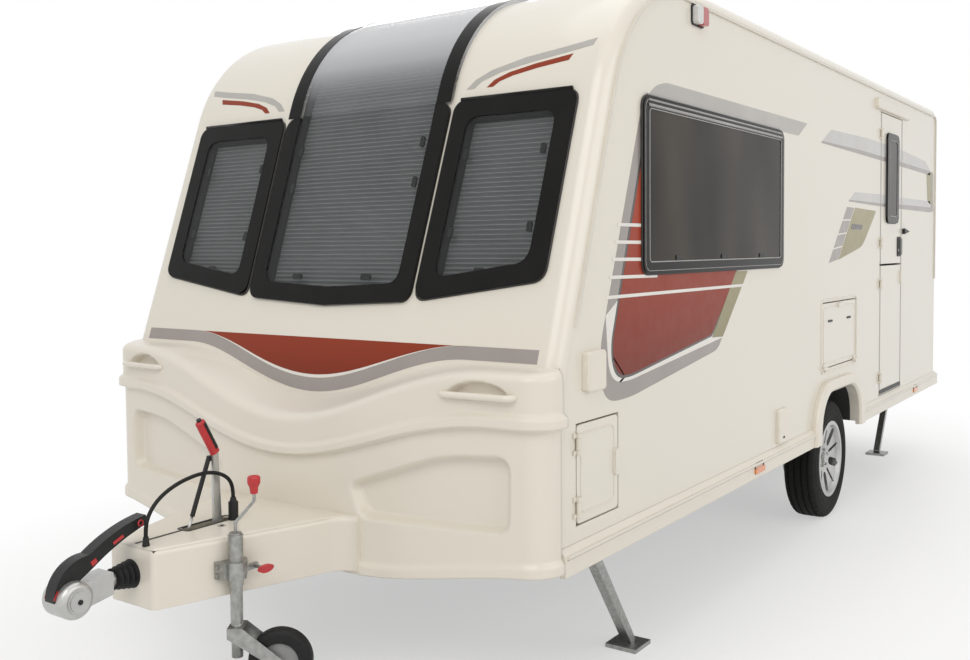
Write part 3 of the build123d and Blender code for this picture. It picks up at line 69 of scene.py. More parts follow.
class Tree:
    """A node tree with short calls to fill it."""

    def __init__(self, owner):
        owner.use_nodes = True
        self.nodes, self.links = owner.node_tree.nodes, owner.node_tree.links

    def feed(self, node, inputs):
        """Set a node's inputs, or link them to outputs."""
        for key, value in inputs.items():
            if isinstance(value, bpy.types.NodeSocket):
                self.links.new(value, node.inputs[key])
            else:
                node.inputs[key].default_value = value

    def add(self, kind, output, inputs, **settings):
        """One output of a new shader node."""
        node = self.nodes.new("ShaderNode" + kind)
        for key, value in settings.items():
            setattr(node, key, value)
        self.feed(node, inputs)
        return node.outputs[output]

    def noise(self, coords, scale, detail=3.0, stretch=None):
        """A noise texture, stretched where asked."""
        if stretch:
            coords = self.add("Mapping", "Vector", {"Scale": stretch, "Vector": coords})
        return self.add("TexNoise", "Fac", {"Scale": scale, "Detail": detail, "Vector": coords})

    def spread(self, value, low=0.0, high=1.0, start=0.3, end=0.7):
        """Map a value between start and end to a range."""
        return self.add("MapRange", "Result", {"From Min": start, "From Max": end, "To Min": low, "To Max": high,
                                               "Value": value})

    def blend(self, factor, first, second):
        """Mix two colours by a factor."""
        return self.add("Mix", "Result", {"A": (*first, 1), "B": (*second, 1), "Factor": factor}, data_type="RGBA")

    def bump(self, height, strength, distance):
        """Fine relief for a shader's normal."""
        return self.add("Bump", "Normal", {"Strength": strength, "Distance": distance, "Height": height})


GRAIN_DEPTH = 0.0002
SKY_Z = (2.05, 2.4)


def start_material(name):
    """A new material with its node tree, shader and object coordinates."""
    mat = bpy.data.materials.new(name)
    tree = Tree(mat)
    return mat, tree, tree.nodes["Principled BSDF"], tree.add("TexCoord", "Object", {})


def paint(name, colour, rough, vary, scale, coat=0.0, metal=0.0, grain=0.0, grain_scale=900.0, rough_vary=0.06,
          edge=0.0, level=0.5):
    """A surface with uneven colour and gloss and, where asked, a grain or rounded edges."""
    mat, tree, shader, coords = start_material(name)
    darker, lighter = [c * (1 - vary) for c in colour], [min(1.0, c * (1 + vary)) for c in colour]
    tree.feed(shader, {
        "Base Color": tree.blend(tree.spread(tree.noise(coords, scale)), darker, lighter),
        "Roughness": tree.spread(tree.noise(coords, scale * 4), max(0.02, rough - rough_vary), rough + rough_vary),
        "Metallic": metal, "Coat Weight": coat, "Coat Roughness": 0.06, "Specular IOR Level": level})
    if grain:
        tree.feed(shader, {"Normal": tree.bump(tree.noise(coords, grain_scale, 2.0), grain, GRAIN_DEPTH)})
    if edge:
        tree.feed(shader, {"Normal": tree.add("Bevel", "Normal", {"Radius": edge}, samples=4)})
    return mat


def ramp(name, low_colour, high_colour, low_z, high_z, rough, metal=0.0):
    """A film that changes colour with height."""
    mat, tree, shader, coords = start_material(name)
    height = tree.add("SeparateXYZ", "Z", {"Vector": coords})
    tree.feed(shader, {
        "Base Color": tree.blend(tree.spread(height, 0.0, 1.0, low_z, high_z), low_colour, high_colour),
        "Roughness": tree.spread(tree.noise(coords, 18.0), rough - 0.05, rough + 0.05),
        "Metallic": metal, "Specular IOR Level": 0.2, "Coat Weight": 0.08})
    return mat


def glass(name, colour, other, alpha, coat, level, sky=False):
    """Tinted acrylic, paler towards the top where it mirrors the sky."""
    mat, tree, shader, coords = start_material(name)
    tree.feed(shader, {"Roughness": 0.03, "Alpha": alpha, "Specular IOR Level": level, "Coat Weight": coat,
                       "Coat Roughness": 0.02, "Normal": tree.bump(tree.noise(coords, 2.2, 1.0), 0.1, 0.01)})
    if sky:
        factor = tree.spread(tree.add("SeparateXYZ", "Z", {"Vector": coords}), 0.0, 1.0, *SKY_Z)
        tree.feed(shader, {"Alpha": tree.spread(factor, 0.2, alpha)})
    # Otherwise stretched blotches of painted reflection vary the tint.
    else:
        factor = tree.spread(tree.noise(coords, 2.0, 1.0, (1.6, 1.0, 0.7)))
    tree.feed(shader, {"Base Color": tree.blend(factor, colour, other)})
    return mat


# Colour, roughness, colour variation, its scale and the coat. A roughness range stays on one side of about 0.27,
# because the denoised picture shows specks where it crosses that.
M = {
    "shell": paint("ivory_shell", (0.78, 0.735, 0.645), 0.31, 0.01, 0.9, 0.4, rough_vary=0.025, edge=0.003),
    "moulding": paint("ivory_moulding", (0.79, 0.735, 0.64), 0.34, 0.012, 1.2, 0.25, rough_vary=0.03, edge=0.004),
    "border": paint("black_border", (0.007, 0.0065, 0.006), 0.16, 0.2, 8.0, level=0.14),
    "skylight": glass("tinted_skylight", (0.05, 0.054, 0.056), (0.58, 0.59, 0.62), 0.78, 1.0, 0.5, sky=True),
    "front_glass": glass("front_glass", (0.04, 0.044, 0.045), (0.032, 0.0352, 0.036), 0.18, 0.5, 0.35),
    # Side, rear and door glass: real tint, made nearly opaque dark brown as painted shade of the inside and painted
    # reflection.
    "glass": glass("tint_and_painted_shade_glass", (0.06, 0.05, 0.036), (0.012, 0.009, 0.006), 0.93, 0.0, 0.12),
    "blind": paint("pleated_blind", (0.235, 0.25, 0.255), 0.85, 0.1, 5.0, grain=0.1, grain_scale=700.0),
    # Pale blind lines: painted highlight where the folds catch light, and the pale side bars.
    "blind_highlight_and_side_bar": paint("blind_highlight_and_side_bar", (0.5, 0.52, 0.53), 0.8, 0.06, 9.0),
    "rail": paint("rail_film", (0.7, 0.66, 0.58), 0.34, 0.03, 12.0, 0.2),
    "alloy": paint("alloy_wheel", (0.52, 0.52, 0.51), 0.36, 0.06, 20.0, metal=0.85),
    "tyre": paint("tyre_rubber", (0.01, 0.0095, 0.009), 0.78, 0.25, 40.0, level=0.25, grain=0.3, grain_scale=500.0),
    "zinc": paint("galvanised", (0.36, 0.36, 0.345), 0.4, 0.18, 55.0, metal=0.9, rough_vary=0.12, grain=0.15,
                  grain_scale=300.0),
    "silver": paint("silver_paint", (0.52, 0.52, 0.505), 0.37, 0.06, 30.0, metal=0.75),
    "black": paint("black_plastic", (0.01, 0.01, 0.01), 0.42, 0.25, 30.0, level=0.35, grain=0.3),
    "red": paint("red_plastic", (0.5, 0.018, 0.022), 0.36, 0.1, 40.0, 0.2),
    "rubber": paint("black_rubber", (0.009, 0.009, 0.009), 0.62, 0.25, 60.0, level=0.3, grain=0.25, grain_scale=700.0),
    "grey": paint("grey_plastic", (0.26, 0.26, 0.26), 0.5, 0.08, 30.0),
    "board": paint("sealed_board", (0.045, 0.04, 0.035), 0.7, 0.25, 14.0, grain=0.3, grain_scale=160.0),
    "liner": paint("box_liner", (0.025, 0.025, 0.025), 0.8, 0.2, 20.0),
    "amber": paint("amber_lens", (0.75, 0.2, 0.015), 0.18, 0.08, 60.0, 0.8),
    "red_lens": paint("red_lens", (0.42, 0.012, 0.012), 0.16, 0.1, 60.0, 0.8),
    "clear_lens": paint("clear_lens", (0.62, 0.62, 0.6), 0.14, 0.06, 60.0, 0.8),
    "warm_grey": paint("warm_grey_film", (0.33, 0.295, 0.275), 0.34, 0.05, 5.0, 0.3, 0.25),
    "pale_grey": paint("pale_grey_film", (0.44, 0.42, 0.39), 0.34, 0.05, 5.0, 0.3, 0.2),
    "silver_film": paint("silver_film", (0.56, 0.55, 0.53), 0.36, 0.06, 3.0, 0.3, 0.3),
    "dark_line": paint("dark_line_film", (0.07, 0.06, 0.055), 0.35, 0.1, 9.0, 0.3),
    "gold": ramp("gold_film", (0.3, 0.27, 0.16), (0.4, 0.36, 0.22), 1.15, 1.75, 0.36, 0.2),
    "white_line": paint("white_line_film", (0.8, 0.77, 0.72), 0.35, 0.02, 9.0, 0.3),
    "red_front": ramp("red_front_film", (0.2, 0.024, 0.007), (0.27, 0.036, 0.011), 1.06, 1.21, 0.42),
    "red_side": ramp("red_side_film", (0.19, 0.026, 0.013), (0.46, 0.07, 0.03), 1.08, 1.95, 0.42),
    "seal": paint("seal_rubber", (0.022, 0.021, 0.02), 0.5, 0.2, 60.0),
    # bead: pale grey lines; round the windows they are painted highlights and under the skirt ledges painted shade, on
    # the door edges and locks grey trim.
    "bead": paint("grey_trim_highlight_and_shade", (0.36, 0.35, 0.34), 0.36, 0.05, 30.0, 0.3),
}
NODE_FINISH = {
    "shell": "front_panel roof_panel rear_panel side_wall_left side_wall_right door_upper door_lower gas_locker_door "
             "service_hatch cassette_door",
    "moulding": "lower_front_panel wall_boxes rear_bumper fridge_vents roof_vent hinge_pins skirts arch_trims "
                "grab_handles a_frame_cover",
    "border": "front_window_frames window_frames door_window_frame", "skylight": "front_skylight",
    "front_glass": "front_window_glass", "glass": "window_glass door_window_glass", "blind": "front_blinds",
    "rail": "awning_rails", "alloy": "rim_left rim_right", "tyre": "tyre_left tyre_right",
    "zinc": "chassis axle steady_brackets steady_front_left steady_front_right steady_rear_left steady_rear_right "
            "overrun_device jockey_tube jockey_clamp jockey_fork",
    "silver": "coupling_head handbrake", "black": "stabiliser_handle brake_strut cable_plug cable_gland",
    "red": "jockey_knob handbrake_grip", "rubber": "bellows cable jockey_tyre", "grey": "jockey_wheel",
    "amber": "lamps", "board": "floor", "liner": "wheel_boxes",
}
for finish, names in NODE_FINISH.items():
    for node in names.split():
        NODES[node].data.materials.clear()
        NODES[node].data.materials.append(M[finish])


# Mesh helpers.


def link_object(name, data):
    """A new object in the scene."""
    item = bpy.data.objects.new(name, data)
    SCENE.collection.objects.link(item)
    return item


def joined(name, parts, finish, body="body", smooth=False):
    """One piece from (points, faces) lists, with its finish and body."""
    verts, faces = [], []
    for points, polygons in parts:
        start = len(verts)
        verts.extend(tuple(p) for p in points)
        faces.extend([tuple(i + start for i in polygon) for polygon in polygons])
    mesh = bpy.data.meshes.new(name)
    mesh.from_pydata(verts, [], faces)
    work = bmesh.new()
    work.from_mesh(mesh)
    bmesh.ops.recalc_face_normals(work, faces=work.faces)
    work.to_mesh(mesh)
    work.free()
    mesh.materials.append(M[finish])
    for face in mesh.polygons:
        face.use_smooth = smooth
    piece = link_object(name, mesh)
    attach(piece, body)
    return piece


def rounds(name, parts, finish, body="body"):
    """One smooth piece from bars and beads."""
    return joined(name, parts, finish, body, True)


def plate(name, outline, place, depth, finish, body="body"):
    """One flat plate as a piece."""
    return joined(name, [prism(outline, place, depth)], finish, body)


def pad(place, depth, *sizes):
    """A plate with round corners."""
    return prism(rounded_rect(*sizes), place, depth)


def loop(place, thick, *sizes):
    """A round bead along a rectangle with round corners."""
    return ring(rounded_rect(*sizes), place, thick)


def above(place, base):
    """A placing function moved outwards by a distance."""
    return lambda u, v, h: place(u, v, base + h)


def square(x0, x1, z0, z1):
    """Outline of a rectangle with sharp corners."""
    return [(x0, z0), (x1, z0), (x1, z1), (x0, z1)]


def quads(rows, count, rows_close, points_close=True):
    """Faces between rows of points. The rows, and each row's points, may close to a ring."""
    return [(a * count + i, a * count + j, b * count + j, b * count + i)
            for a, b in ((r, (r + 1) % rows) for r in range(rows if rows_close else rows - 1))
            for i, j in ((k, (k + 1) % count) for k in range(count if points_close else count - 1))]


def ends(rows, count):
    """Faces that close the first and the last row."""
    return [tuple(range(count))[::-1], tuple(range((rows - 1) * count, rows * count))]


def prism(outline, place, depth):
    """A closed plate. place is a function of (u, v, height)."""
    count = len(outline)
    return [place(u, v, h) for h in (0.0, depth) for u, v in outline], ends(2, count) + quads(2, count, False)


def tube(points, radius, closed=False, sides=10):
    """A round bar along points."""
    points = [Vector(p) for p in points]
    count = len(points)
    verts = []
    side_way = None
    for i, point in enumerate(points):
        before = points[i - 1] if i or closed else point
        after = points[(i + 1) % count] if i + 1 < count or closed else point
        along = (after - before).normalized()
        if side_way is None:
            side_way = along.orthogonal().normalized()
        side_way = (side_way - along * side_way.dot(along)).normalized()
        other = along.cross(side_way)
        verts += [point + u * side_way + v * other for u, v in circle(radius, sides)]
    return verts, quads(count, sides, closed) + ([] if closed else ends(count, sides))


def lathe(profile, origin, axis, segments, notched, notch):
    """A turned form of (distance, radius) pairs, some cut in at every third step."""
    origin, axis = Vector(origin), Vector(axis).normalized()
    across = axis.orthogonal().normalized()
    other = axis.cross(across)
    verts = []
    for step, (u, v) in enumerate(circle(1.0, segments)):
        way = u * across + v * other
        cut = notch if step % 3 == 0 else 0.0
        verts += [origin + axis * along + way * (radius - (cut if k in notched else 0.0))
                  for k, (along, radius) in enumerate(profile)]
    return verts, quads(segments, len(profile), True)


def rounded_rect(x0, x1, z0, z1, radius, steps=8):
    """Outline of a rectangle with round corners."""
    outline = []
    corners = ((x1 - radius, z1 - radius, 0), (x0 + radius, z1 - radius, 90),
               (x0 + radius, z0 + radius, 180), (x1 - radius, z0 + radius, 270))
    for cx, cz, start in corners:
        for k in range(steps + 1):
            turn = radians(start + 90 * k / steps)
            outline.append((cx + radius * cos(turn), cz + radius * sin(turn)))
    return outline


def bend(start, corner, end, steps):
    """A curve from start to end, pulled towards a corner."""
    return [(1 - t) ** 2 * start + 2 * t * (1 - t) * corner + t * t * end
            for t in (k / steps for k in range(steps + 1))]


def corner_curve(corners, i, reach, steps):
    """The curve that rounds one corner of a polygon."""
    here, before, after = (Vector(corners[k % len(corners)]) for k in (i, i - 1, i + 1))
    start, end = (here + (p - here).normalized() * reach for p in (before, after))
    return [tuple(p) for p in bend(start, here, end, steps)]


def rounded_polygon(corners, radius, steps=6):
    """Outline of a polygon with round corners."""
    reach = radius if isinstance(radius, list) else [radius] * len(corners)
    return [p for i in range(len(corners)) for p in corner_curve(corners, i, reach[i], steps)]


def clip_x(outline, low, high):
    """The part of an outline between two x values."""
    for limit, sign in ((low, 1), (high, -1)):
        kept = []
        for a, b in zip(outline, outline[1:] + outline[:1]):
            inside_a, inside_b = (sign * (p[0] - limit) >= 0 for p in (a, b))
            if inside_a:
                kept.append(a)
            if inside_a != inside_b:
                kept.append((limit, a[1] + (limit - a[0]) / (b[0] - a[0]) * (b[1] - a[1])))
        outline = kept
    return outline


def side_place(side, base=0.0):
    """Placing function on a side wall: u is x, v is z."""
    return lambda u, v, h: vec(u, side * (HALF_WIDTH + base + h), v)


def rear_place(u, v, h):
    """Placing function on the rear wall: u is y, v is z."""
    return vec(REAR_X - h, u, v)


def front_surface(z):
    """Front wall's x and outward normal at a height: flat, knee, rake and brow."""
    knee_t = KNEE_R * tan(RAKE / 2)
    low_z = KNEE_Z - knee_t
    brow_t = BROW_R * tan((pi / 2 - RAKE) / 2)
    brow_x = FRONT_X - (ROOF_Z - KNEE_Z) * tan(RAKE)
    start = vec(brow_x + brow_t * sin(RAKE), ROOF_Z - brow_t * cos(RAKE))
    if z <= low_z:
        return FRONT_X, vec(1, 0, 0)
    if z < KNEE_Z + knee_t * cos(RAKE):
        turn = asin((z - low_z) / KNEE_R)
        return FRONT_X - KNEE_R + KNEE_R * cos(turn), vec(cos(turn), 0, sin(turn))
    if z < start.y:
        return FRONT_X - (z - KNEE_Z) * tan(RAKE), vec(cos(RAKE), 0, sin(RAKE))
    centre = start - BROW_R * vec(cos(RAKE), sin(RAKE))
    turn = asin(min(1.0, (z - centre.y) / BROW_R))
    return centre.x + BROW_R * cos(turn), vec(cos(turn), 0, sin(turn))


def front_place(u, v, h):
    """Placing function on the front wall: u is y, v is z."""
    x, normal = front_surface(v)
    return vec(x, u, v) + normal * h


def strip(lines, place, depth):
    """A closed band through two or more lines of (u, v) points."""
    count, total = len(lines[0]), 2 * len(lines)
    rows = [[place(u, v, 0.0) for u, v in line] for line in lines]
    rows += [[place(u, v, depth) for u, v in line] for line in reversed(lines)]
    faces = quads(total, count, True, False)
    for r in range(len(lines) - 1):
        a, b, c, d = (k * count for k in (r, r + 1, total - 2 - r, total - 1 - r))
        faces.append((a, b, c, d))
        faces.append(tuple(k + count - 1 for k in (d, c, b, a)))
    return [p for row in rows for p in row], faces


def ring(outline, place, radius):
    """A round bead along a closed outline."""
    return tube([place(u, v, 0.0) for u, v in outline], radius, True, 8)


def circle(radius, steps=32, u=0.0, v=0.0):
    """Outline of a circle."""
    return [(u + radius * cos(2 * pi * k / steps), v + radius * sin(2 * pi * k / steps))
            for k in range(steps)]


# Camera, light and floor

CAMERA_AT = (5.076, 2.741, 1.543)
YAW, PITCH, ROLL = (radians(a) for a in (214.95, -2.481, -0.451))
FOCAL_PX, CENTRE_PX_Y, FRAME_PX = 1023.8, 293.16, (970, 660)
WORLD_LIGHT = 0.55
FLOOR_REACH = 60.0
WARM = (1.0, 0.98, 0.95)


def make_camera():
    """Camera at the photograph's place and angle."""
    data = bpy.data.cameras.new("camera")
    data.sensor_width = 36.0
    data.lens = FOCAL_PX * data.sensor_width / FRAME_PX[0]
    data.shift_y = (CENTRE_PX_Y - FRAME_PX[1] / 2) / FRAME_PX[0]
    ahead = vec(cos(YAW) * cos(PITCH), sin(YAW) * cos(PITCH), sin(PITCH))
    level = ahead.cross(vec(0, 0, 1)).normalized()
    upright = level.cross(ahead)
    right = cos(ROLL) * level + sin(ROLL) * upright
    up = -sin(ROLL) * level + cos(ROLL) * upright
    camera = link_object("camera", data)
    camera.matrix_world = Matrix.Translation(CAMERA_AT) @ Matrix((right, up, -ahead)).transposed().to_4x4()
    SCENE.camera = camera


def area_light(name, at, target, size, power, tint=(1, 1, 1)):
    """A large soft lamp aimed at a point."""
    data = bpy.data.lights.new(name, "AREA")
    data.shape = "RECTANGLE"
    data.size, data.size_y = size
    data.energy = power
    data.color = tint
    lamp = link_object(name, data)
    lamp.location = at
    lamp.rotation_euler = (Vector(target) - Vector(at)).to_track_quat("-Z", "Y").to_euler()


def seen_directly(tree):
    """1 for rays from the camera, from gloss and through glass."""
    path = tree.nodes.new("ShaderNodeLightPath")
    value = path.outputs["Is Camera Ray"]
    for name in ("Is Glossy Ray", "Is Transmission Ray"):
        value = tree.add("Math", "Value", {0: value, 1: path.outputs[name]}, operation="MAXIMUM")
    return value


def make_stage():
    """Floor that keeps the shadow and is clear from below, world that is white to the camera, lamps."""
    world = bpy.data.worlds.new("studio")
    SCENE.world = world
    tree = Tree(world)
    strength = tree.spread(seen_directly(tree), WORLD_LIGHT, 1.0, 0.0, 1.0)
    tree.feed(tree.nodes["Background"], {"Color": (1, 1, 1, 1), "Strength": strength})
    mesh = bpy.data.meshes.new("floor_sheet")
    corners = square(-FLOOR_REACH, FLOOR_REACH, -FLOOR_REACH, FLOOR_REACH)
    mesh.from_pydata([(x, y, 0) for x, y in corners], [], [(0, 1, 2, 3)])
    mat, tree, shader, coords = start_material("pale_floor")
    tone = tree.blend(tree.spread(tree.noise(coords, 0.6)), (0.9, 0.9, 0.89), (0.92, 0.92, 0.91))
    tree.feed(shader, {"Base Color": tone, "Roughness": 0.9, "Specular IOR Level": 0.1})
    squeezed = tree.add("VectorMath", "Vector", {0: coords, 1: (0.55, 1.0, 1.0)}, operation="MULTIPLY")
    away = tree.add("VectorMath", "Value", {0: squeezed}, operation="LENGTH")
    fade = tree.spread(away, 0.5, 1.0, 1.5, 3.0)
    seen = tree.add("Math", "Value", {0: fade, 1: seen_directly(tree)}, operation="MULTIPLY")
    white = tree.add("Emission", "Emission", {})
    top = tree.add("MixShader", "Shader", {"Fac": seen, 1: shader.outputs["BSDF"], 2: white})
    clear = tree.add("BsdfTransparent", "BSDF", {})
    below = tree.add("NewGeometry", "Backfacing", {})
    surface = tree.add("MixShader", "Shader", {"Fac": below, 1: top, 2: clear})
    tree.feed(tree.nodes["Material Output"], {"Surface": surface})
    mesh.materials.append(mat)
    link_object("floor_sheet", mesh)
    area_light("key", (8.0, 2.0, 6.5), (1.0, 0.0, 1.2), (6.0, 4.0), 190.0, WARM)
    area_light("fill", (1.0, 9.0, 4.5), (0.0, 0.0, 1.2), (9.0, 4.0), 170.0, WARM)
    area_light("top", (-1.0, 0.0, 9.0), (-1.0, 0.0, 0.0), (9.0, 6.0), 170.0)
    area_light("rim", (-8.0, -6.0, 5.0), (-1.0, 0.0, 1.2), (6.0, 4.0), 190.0)


SCENE.view_settings.view_transform = "Standard"
make_camera()
make_stage()


# Road-lamp cable: the solid's route on one smooth spline

CABLE_ROUTE = [(3.09, 0.05, 0.65), (3.09, 0.05, 0.688), (3.071, 0.049, 0.727), (3.036, 0.047, 0.76),
               (2.985, 0.045, 0.785), (2.925, 0.043, 0.801), (2.855, 0.041, 0.808), (2.795, 0.04, 0.798),
               (2.749, 0.039, 0.774), (2.724, 0.037, 0.738), (2.724, 0.037, 0.7)]
CABLE_D = 0.013


def make_cable():
    """The free cable between its gland and its plug."""
    data = bpy.data.curves.new("road_cable", "CURVE")
    data.dimensions = "3D"
    data.bevel_depth = CABLE_D / 2
    data.bevel_resolution = 6
    data.resolution_u = 16
    data.use_fill_caps = True
    spline = data.splines.new("NURBS")
    spline.points.add(len(CABLE_ROUTE) - 1)
    for point, at in zip(spline.points, CABLE_ROUTE):
        point.co = (*at, 1)
    spline.order_u = 3
    spline.use_endpoint_u = True
    data.materials.append(M["rubber"])
    piece = link_object("road_cable", data)
    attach(piece, "body")
    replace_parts(piece, "cable")


make_cable()


# Decals: stripes and colour panels

WAVE_HALF = 0.71
STRIPE_END = 0.991
BAND_STEPS = 60
MARKS = (("grey", "pale_grey",
          [(0.515, 2.137), (0.545, 2.163), (0.62, 2.19), (0.75, 2.216), (0.88, 2.234), (0.99, 2.252)],
          [(0.48, 2.137), (0.515, 2.172), (0.58, 2.204), (0.72, 2.238), (0.87, 2.258), (1.0, 2.278)]),
         ("red", "red_front", [(0.6, 2.137), (0.625, 2.155), (0.68, 2.172), (0.78, 2.19), (0.905, 2.205)],
          [(0.572, 2.137), (0.6, 2.163), (0.66, 2.186), (0.77, 2.208), (0.918, 2.228)]))


def dip(y, middle, side, half):
    """Height of a line across the front that dips at the middle."""
    return middle + (side - middle) * (0.5 - 0.5 * cos(pi * min(1.0, abs(y) / half)))


def wave(middle, side):
    """Height of a front stripe as a function of y."""
    return lambda y: dip(y, middle, side, WAVE_HALF)


def front_band(name, reach, low, high, finish, rows):
    """A film across the front between two functions of y."""
    across = [-reach + 2 * reach * k / BAND_STEPS for k in range(BAND_STEPS + 1)]
    lines = [[(y, low(y) + (high(y) - low(y)) * k / rows) for y in across] for k in range(rows + 1)]
    joined(name, [strip(lines, front_place, LIFT)], finish)


def make_front_decals():
    """Wave stripe, white line, red crescent and the marks over the outer windows."""
    front_band("wave_stripe", STRIPE_END, wave(1.013, 1.168), wave(1.064, 1.213), "warm_grey", 5)
    front_band("wave_white_line", WAVE_HALF - 0.005, wave(1.066, 1.2135), wave(1.075, 1.214), "white_line", 2)
    crescent = wave(1.077, 1.2142)
    front_band("red_crescent", WAVE_HALF - 0.03, lambda y: min(1.2115, crescent(y)), lambda y: 1.212, "red_front", 10)
    for side, label in ((1, "left"), (-1, "right")):
        for name, finish, low, high in MARKS:
            lines = [[(side * y, z) for y, z in line] for line in (low, high)]
            joined(f"front_mark_{name}_{label}", [strip(lines, front_place, LIFT)], finish)


# A film on the near wall is cut at the door's edges and kept off the door's window
DOOR_X = (-2.267, -1.693)
WALL_SPANS = (("body", -3.36, DOOR_X[0] - 0.002), ("door_upper", DOOR_X[0] + 0.008, -2.122),
              ("door_upper", -1.838, DOOR_X[1] - 0.008), ("body", DOOR_X[1] + 0.002, 2.3))
SHARP = 0.004

# Name, finish, height in lifts, corner radii, corners
FRONT_FILMS = (
    ("panel_border", "warm_grey", 1, [SHARP, 0.06, 0.1, 0.08, 0.05, SHARP, SHARP, SHARP, SHARP],
     [(1.69, 2.047), (2.003, 1.204), (1.99, 1.01), (1.79, 1.005), (0.96, 1.11), (0.885, 1.2), (1.1, 1.44),
      (1.6, 1.7), (1.628, 2.052)]),
    ("panel_rim", "white_line", 1.6, [SHARP, 0.09, 0.07, 0.01, 0.01, SHARP, SHARP],
     [(1.965, 1.31), (1.94, 1.075), (1.8, 1.066), (0.905, 1.158), (0.88, 1.205), (1.1, 1.4), (1.8, 1.4)]),
    ("panel_edge", "dark_line", 2, [SHARP, 0.05, 0.07, 0.05, 0.02, SHARP, SHARP],
     [(1.672, 1.945), (1.932, 1.2), (1.905, 1.085), (1.785, 1.079), (1.03, 1.17), (0.735, 1.435), (1.62, 1.6)]),
    ("panel_red", "red_side", 2.5, [SHARP, 0.05, 0.07, 0.05, 0.02, SHARP, SHARP],
     [(1.664, 1.925), (1.918, 1.203), (1.895, 1.096), (1.785, 1.088), (1.037, 1.178), (0.747, 1.435), (1.61, 1.6)]))
PANEL_GOLD = [(1.03, 1.165), (0.915, 1.16), (0.623, 1.435), (0.766, 1.435)]
PANEL_LINES = ((1.876, 1.65, 1.624, 1.624), (1.897, 1.65, 1.563, 1.562), (1.917, 1.64, 1.503, 1.5),
               (1.938, 1.56, 1.441, 1.437), (1.962, 0.69, 1.372, 1.372))
LINE_HALF = 0.006
WINDOW_BAND = [(1.649, 2.092), (1.565, 2.145), (1.478, 2.166), (-0.221, 2.174), (-0.082, 2.1)]

# Each rear band has three lines: a dark shade lies between the first two and silver between the last two
REAR_BANDS = (("upper", ([(-0.456, 2.094), (-1.2, 2.088), (-2.1, 2.078), (-3.134, 2.066)],
                         [(-0.48, 2.106), (-1.2, 2.112), (-2.1, 2.108), (-3.15, 2.096)],
                         [(-0.64, 2.18), (-1.4, 2.196), (-2.2, 2.19), (-2.98, 2.16)])),
              ("lower", ([(-0.984, 1.8), (-1.7, 1.792), (-2.4, 1.79), (-3.149, 1.79)],
                         [(-1.0, 1.81), (-1.7, 1.812), (-2.4, 1.822), (-3.17, 1.826)],
                         [(-1.113, 1.858), (-1.7, 1.868), (-2.4, 1.868), (-3.144, 1.872)])))
REAR_FILMS = (
    ("rear_band_tail", "gold", 1, [0.01, 0.05, 0.03, 0.01],
     [(-3.02, 2.066), (-3.215, 2.1), (-3.235, 1.83), (-3.06, 1.872)]),
    ("rear_band_edge", "warm_grey", 1.5, 0.012,
     [(-3.185, 2.098), (-3.245, 2.085), (-3.262, 1.8), (-3.14, 1.792), (-3.15, 1.826), (-3.205, 1.84)]),
    ("rear_flag", "gold", 1, [0.01, 0.02, 0.08, 0.01],
     [(-1.12, 1.768), (-1.597, 1.76), (-1.285, 1.54), (-0.79, 1.466)]))
FLAG_DASH = [(-1.055, 1.672), (-1.285, 1.668), (-1.262, 1.64), (-1.04, 1.64)]
FLAG_STEPS, FLAG_GAP = 4, 0.014


def side_decal(name, outline, finish, side, lifts=1):
    """A colour panel on a side wall, cut where it crosses the door."""
    if side < 0:
        plate(f"{name}_right", outline, side_place(side), lifts * LIFT, finish)
        return
    for k, (body, low, high) in enumerate(WALL_SPANS):
        part = clip_x(outline, low, high)
        if len(part) > 2:
            plate(f"{name}_left_{k}", part, side_place(side), lifts * LIFT, finish, body)


def make_side_decals(side):
    """All films on one side."""
    for name, finish, lifts, radii, corners in FRONT_FILMS:
        side_decal(name, rounded_polygon(corners, radii), finish, side, lifts)
    side_decal("panel_gold", PANEL_GOLD, "gold", side, 3)
    for k, (x0, x1, z0, z1) in enumerate(PANEL_LINES):
        line = [(x0, z0 - LINE_HALF), (x0, z0 + LINE_HALF), (x1, z1 + LINE_HALF), (x1, z1 - LINE_HALF)]
        side_decal(f"panel_line_{k}", line, "white_line", side, 3.5)
    band = rounded_polygon(WINDOW_BAND, [0.005, 0.03, 0.03, 0.005, 0.005])
    side_decal("window_band", band, "pale_grey", side)
    for name, (low, middle, high) in REAR_BANDS:
        side_decal(f"rear_band_{name}_shade", low + middle[::-1], "warm_grey", side)
        side_decal(f"rear_band_{name}", middle + high[::-1], "silver_film", side)
    for name, finish, lifts, radii, corners in REAR_FILMS:
        side_decal(name, rounded_polygon(corners, radii), finish, side, lifts)
    for k in range(FLAG_STEPS):
        start, end = (((-0.96 + 0.355 * t, 1.772 - 0.326 * t), (-1.108 + 0.33 * t, 1.77 - 0.306 * t))
                      for t in (k / FLAG_STEPS + FLAG_GAP, (k + 1) / FLAG_STEPS - FLAG_GAP))
        side_decal(f"rear_flag_edge_{k}", [start[0], end[0], end[1], start[1]], "warm_grey", side)
    side_decal("rear_flag_dash", FLAG_DASH, "dark_line", side, 2)


make_front_decals()
make_side_decals(1)
make_side_decals(-1)


# Lower front moulding: one soft skin over the solid's plan, shelf, bead, pockets and hand recesses

MOULD_NOSE, MOULD_BOW, MOULD_HALF, MOULD_CORNER = FRONT_X + 0.159, 6.5, HALF_WIDTH + 0.01, 0.095
MOULD_LOW, FLOOR_Z = 0.42, 0.5
POCKET = [(0.318, 0.735), (0.372, 0.612), (0.955, 0.628), (0.958, 0.884), (0.7, 0.866)]
HANDLE_Y, HANDLE_Z = HALF_WIDTH - 0.225, 1.072
BEAD_OUT, BEAD_BACK, FOOT_OUT, POCKET_DEEP, RECESS_DEEP = 0.026, 0.018, 0.012, 0.042, 0.034
BOW_STEPS, CORNER_STEPS, FACE_STEPS, CREST_STEPS, SHELF_STEPS = 165, 16, 110, 8, 6
CREST_ROUND = 0.026
ROOT_HALF = 1.066


def smooth(t):
    """Soft step from 0 to 1."""
    t = max(0.0, min(1.0, t))
    return t * t * (3 - 2 * t)


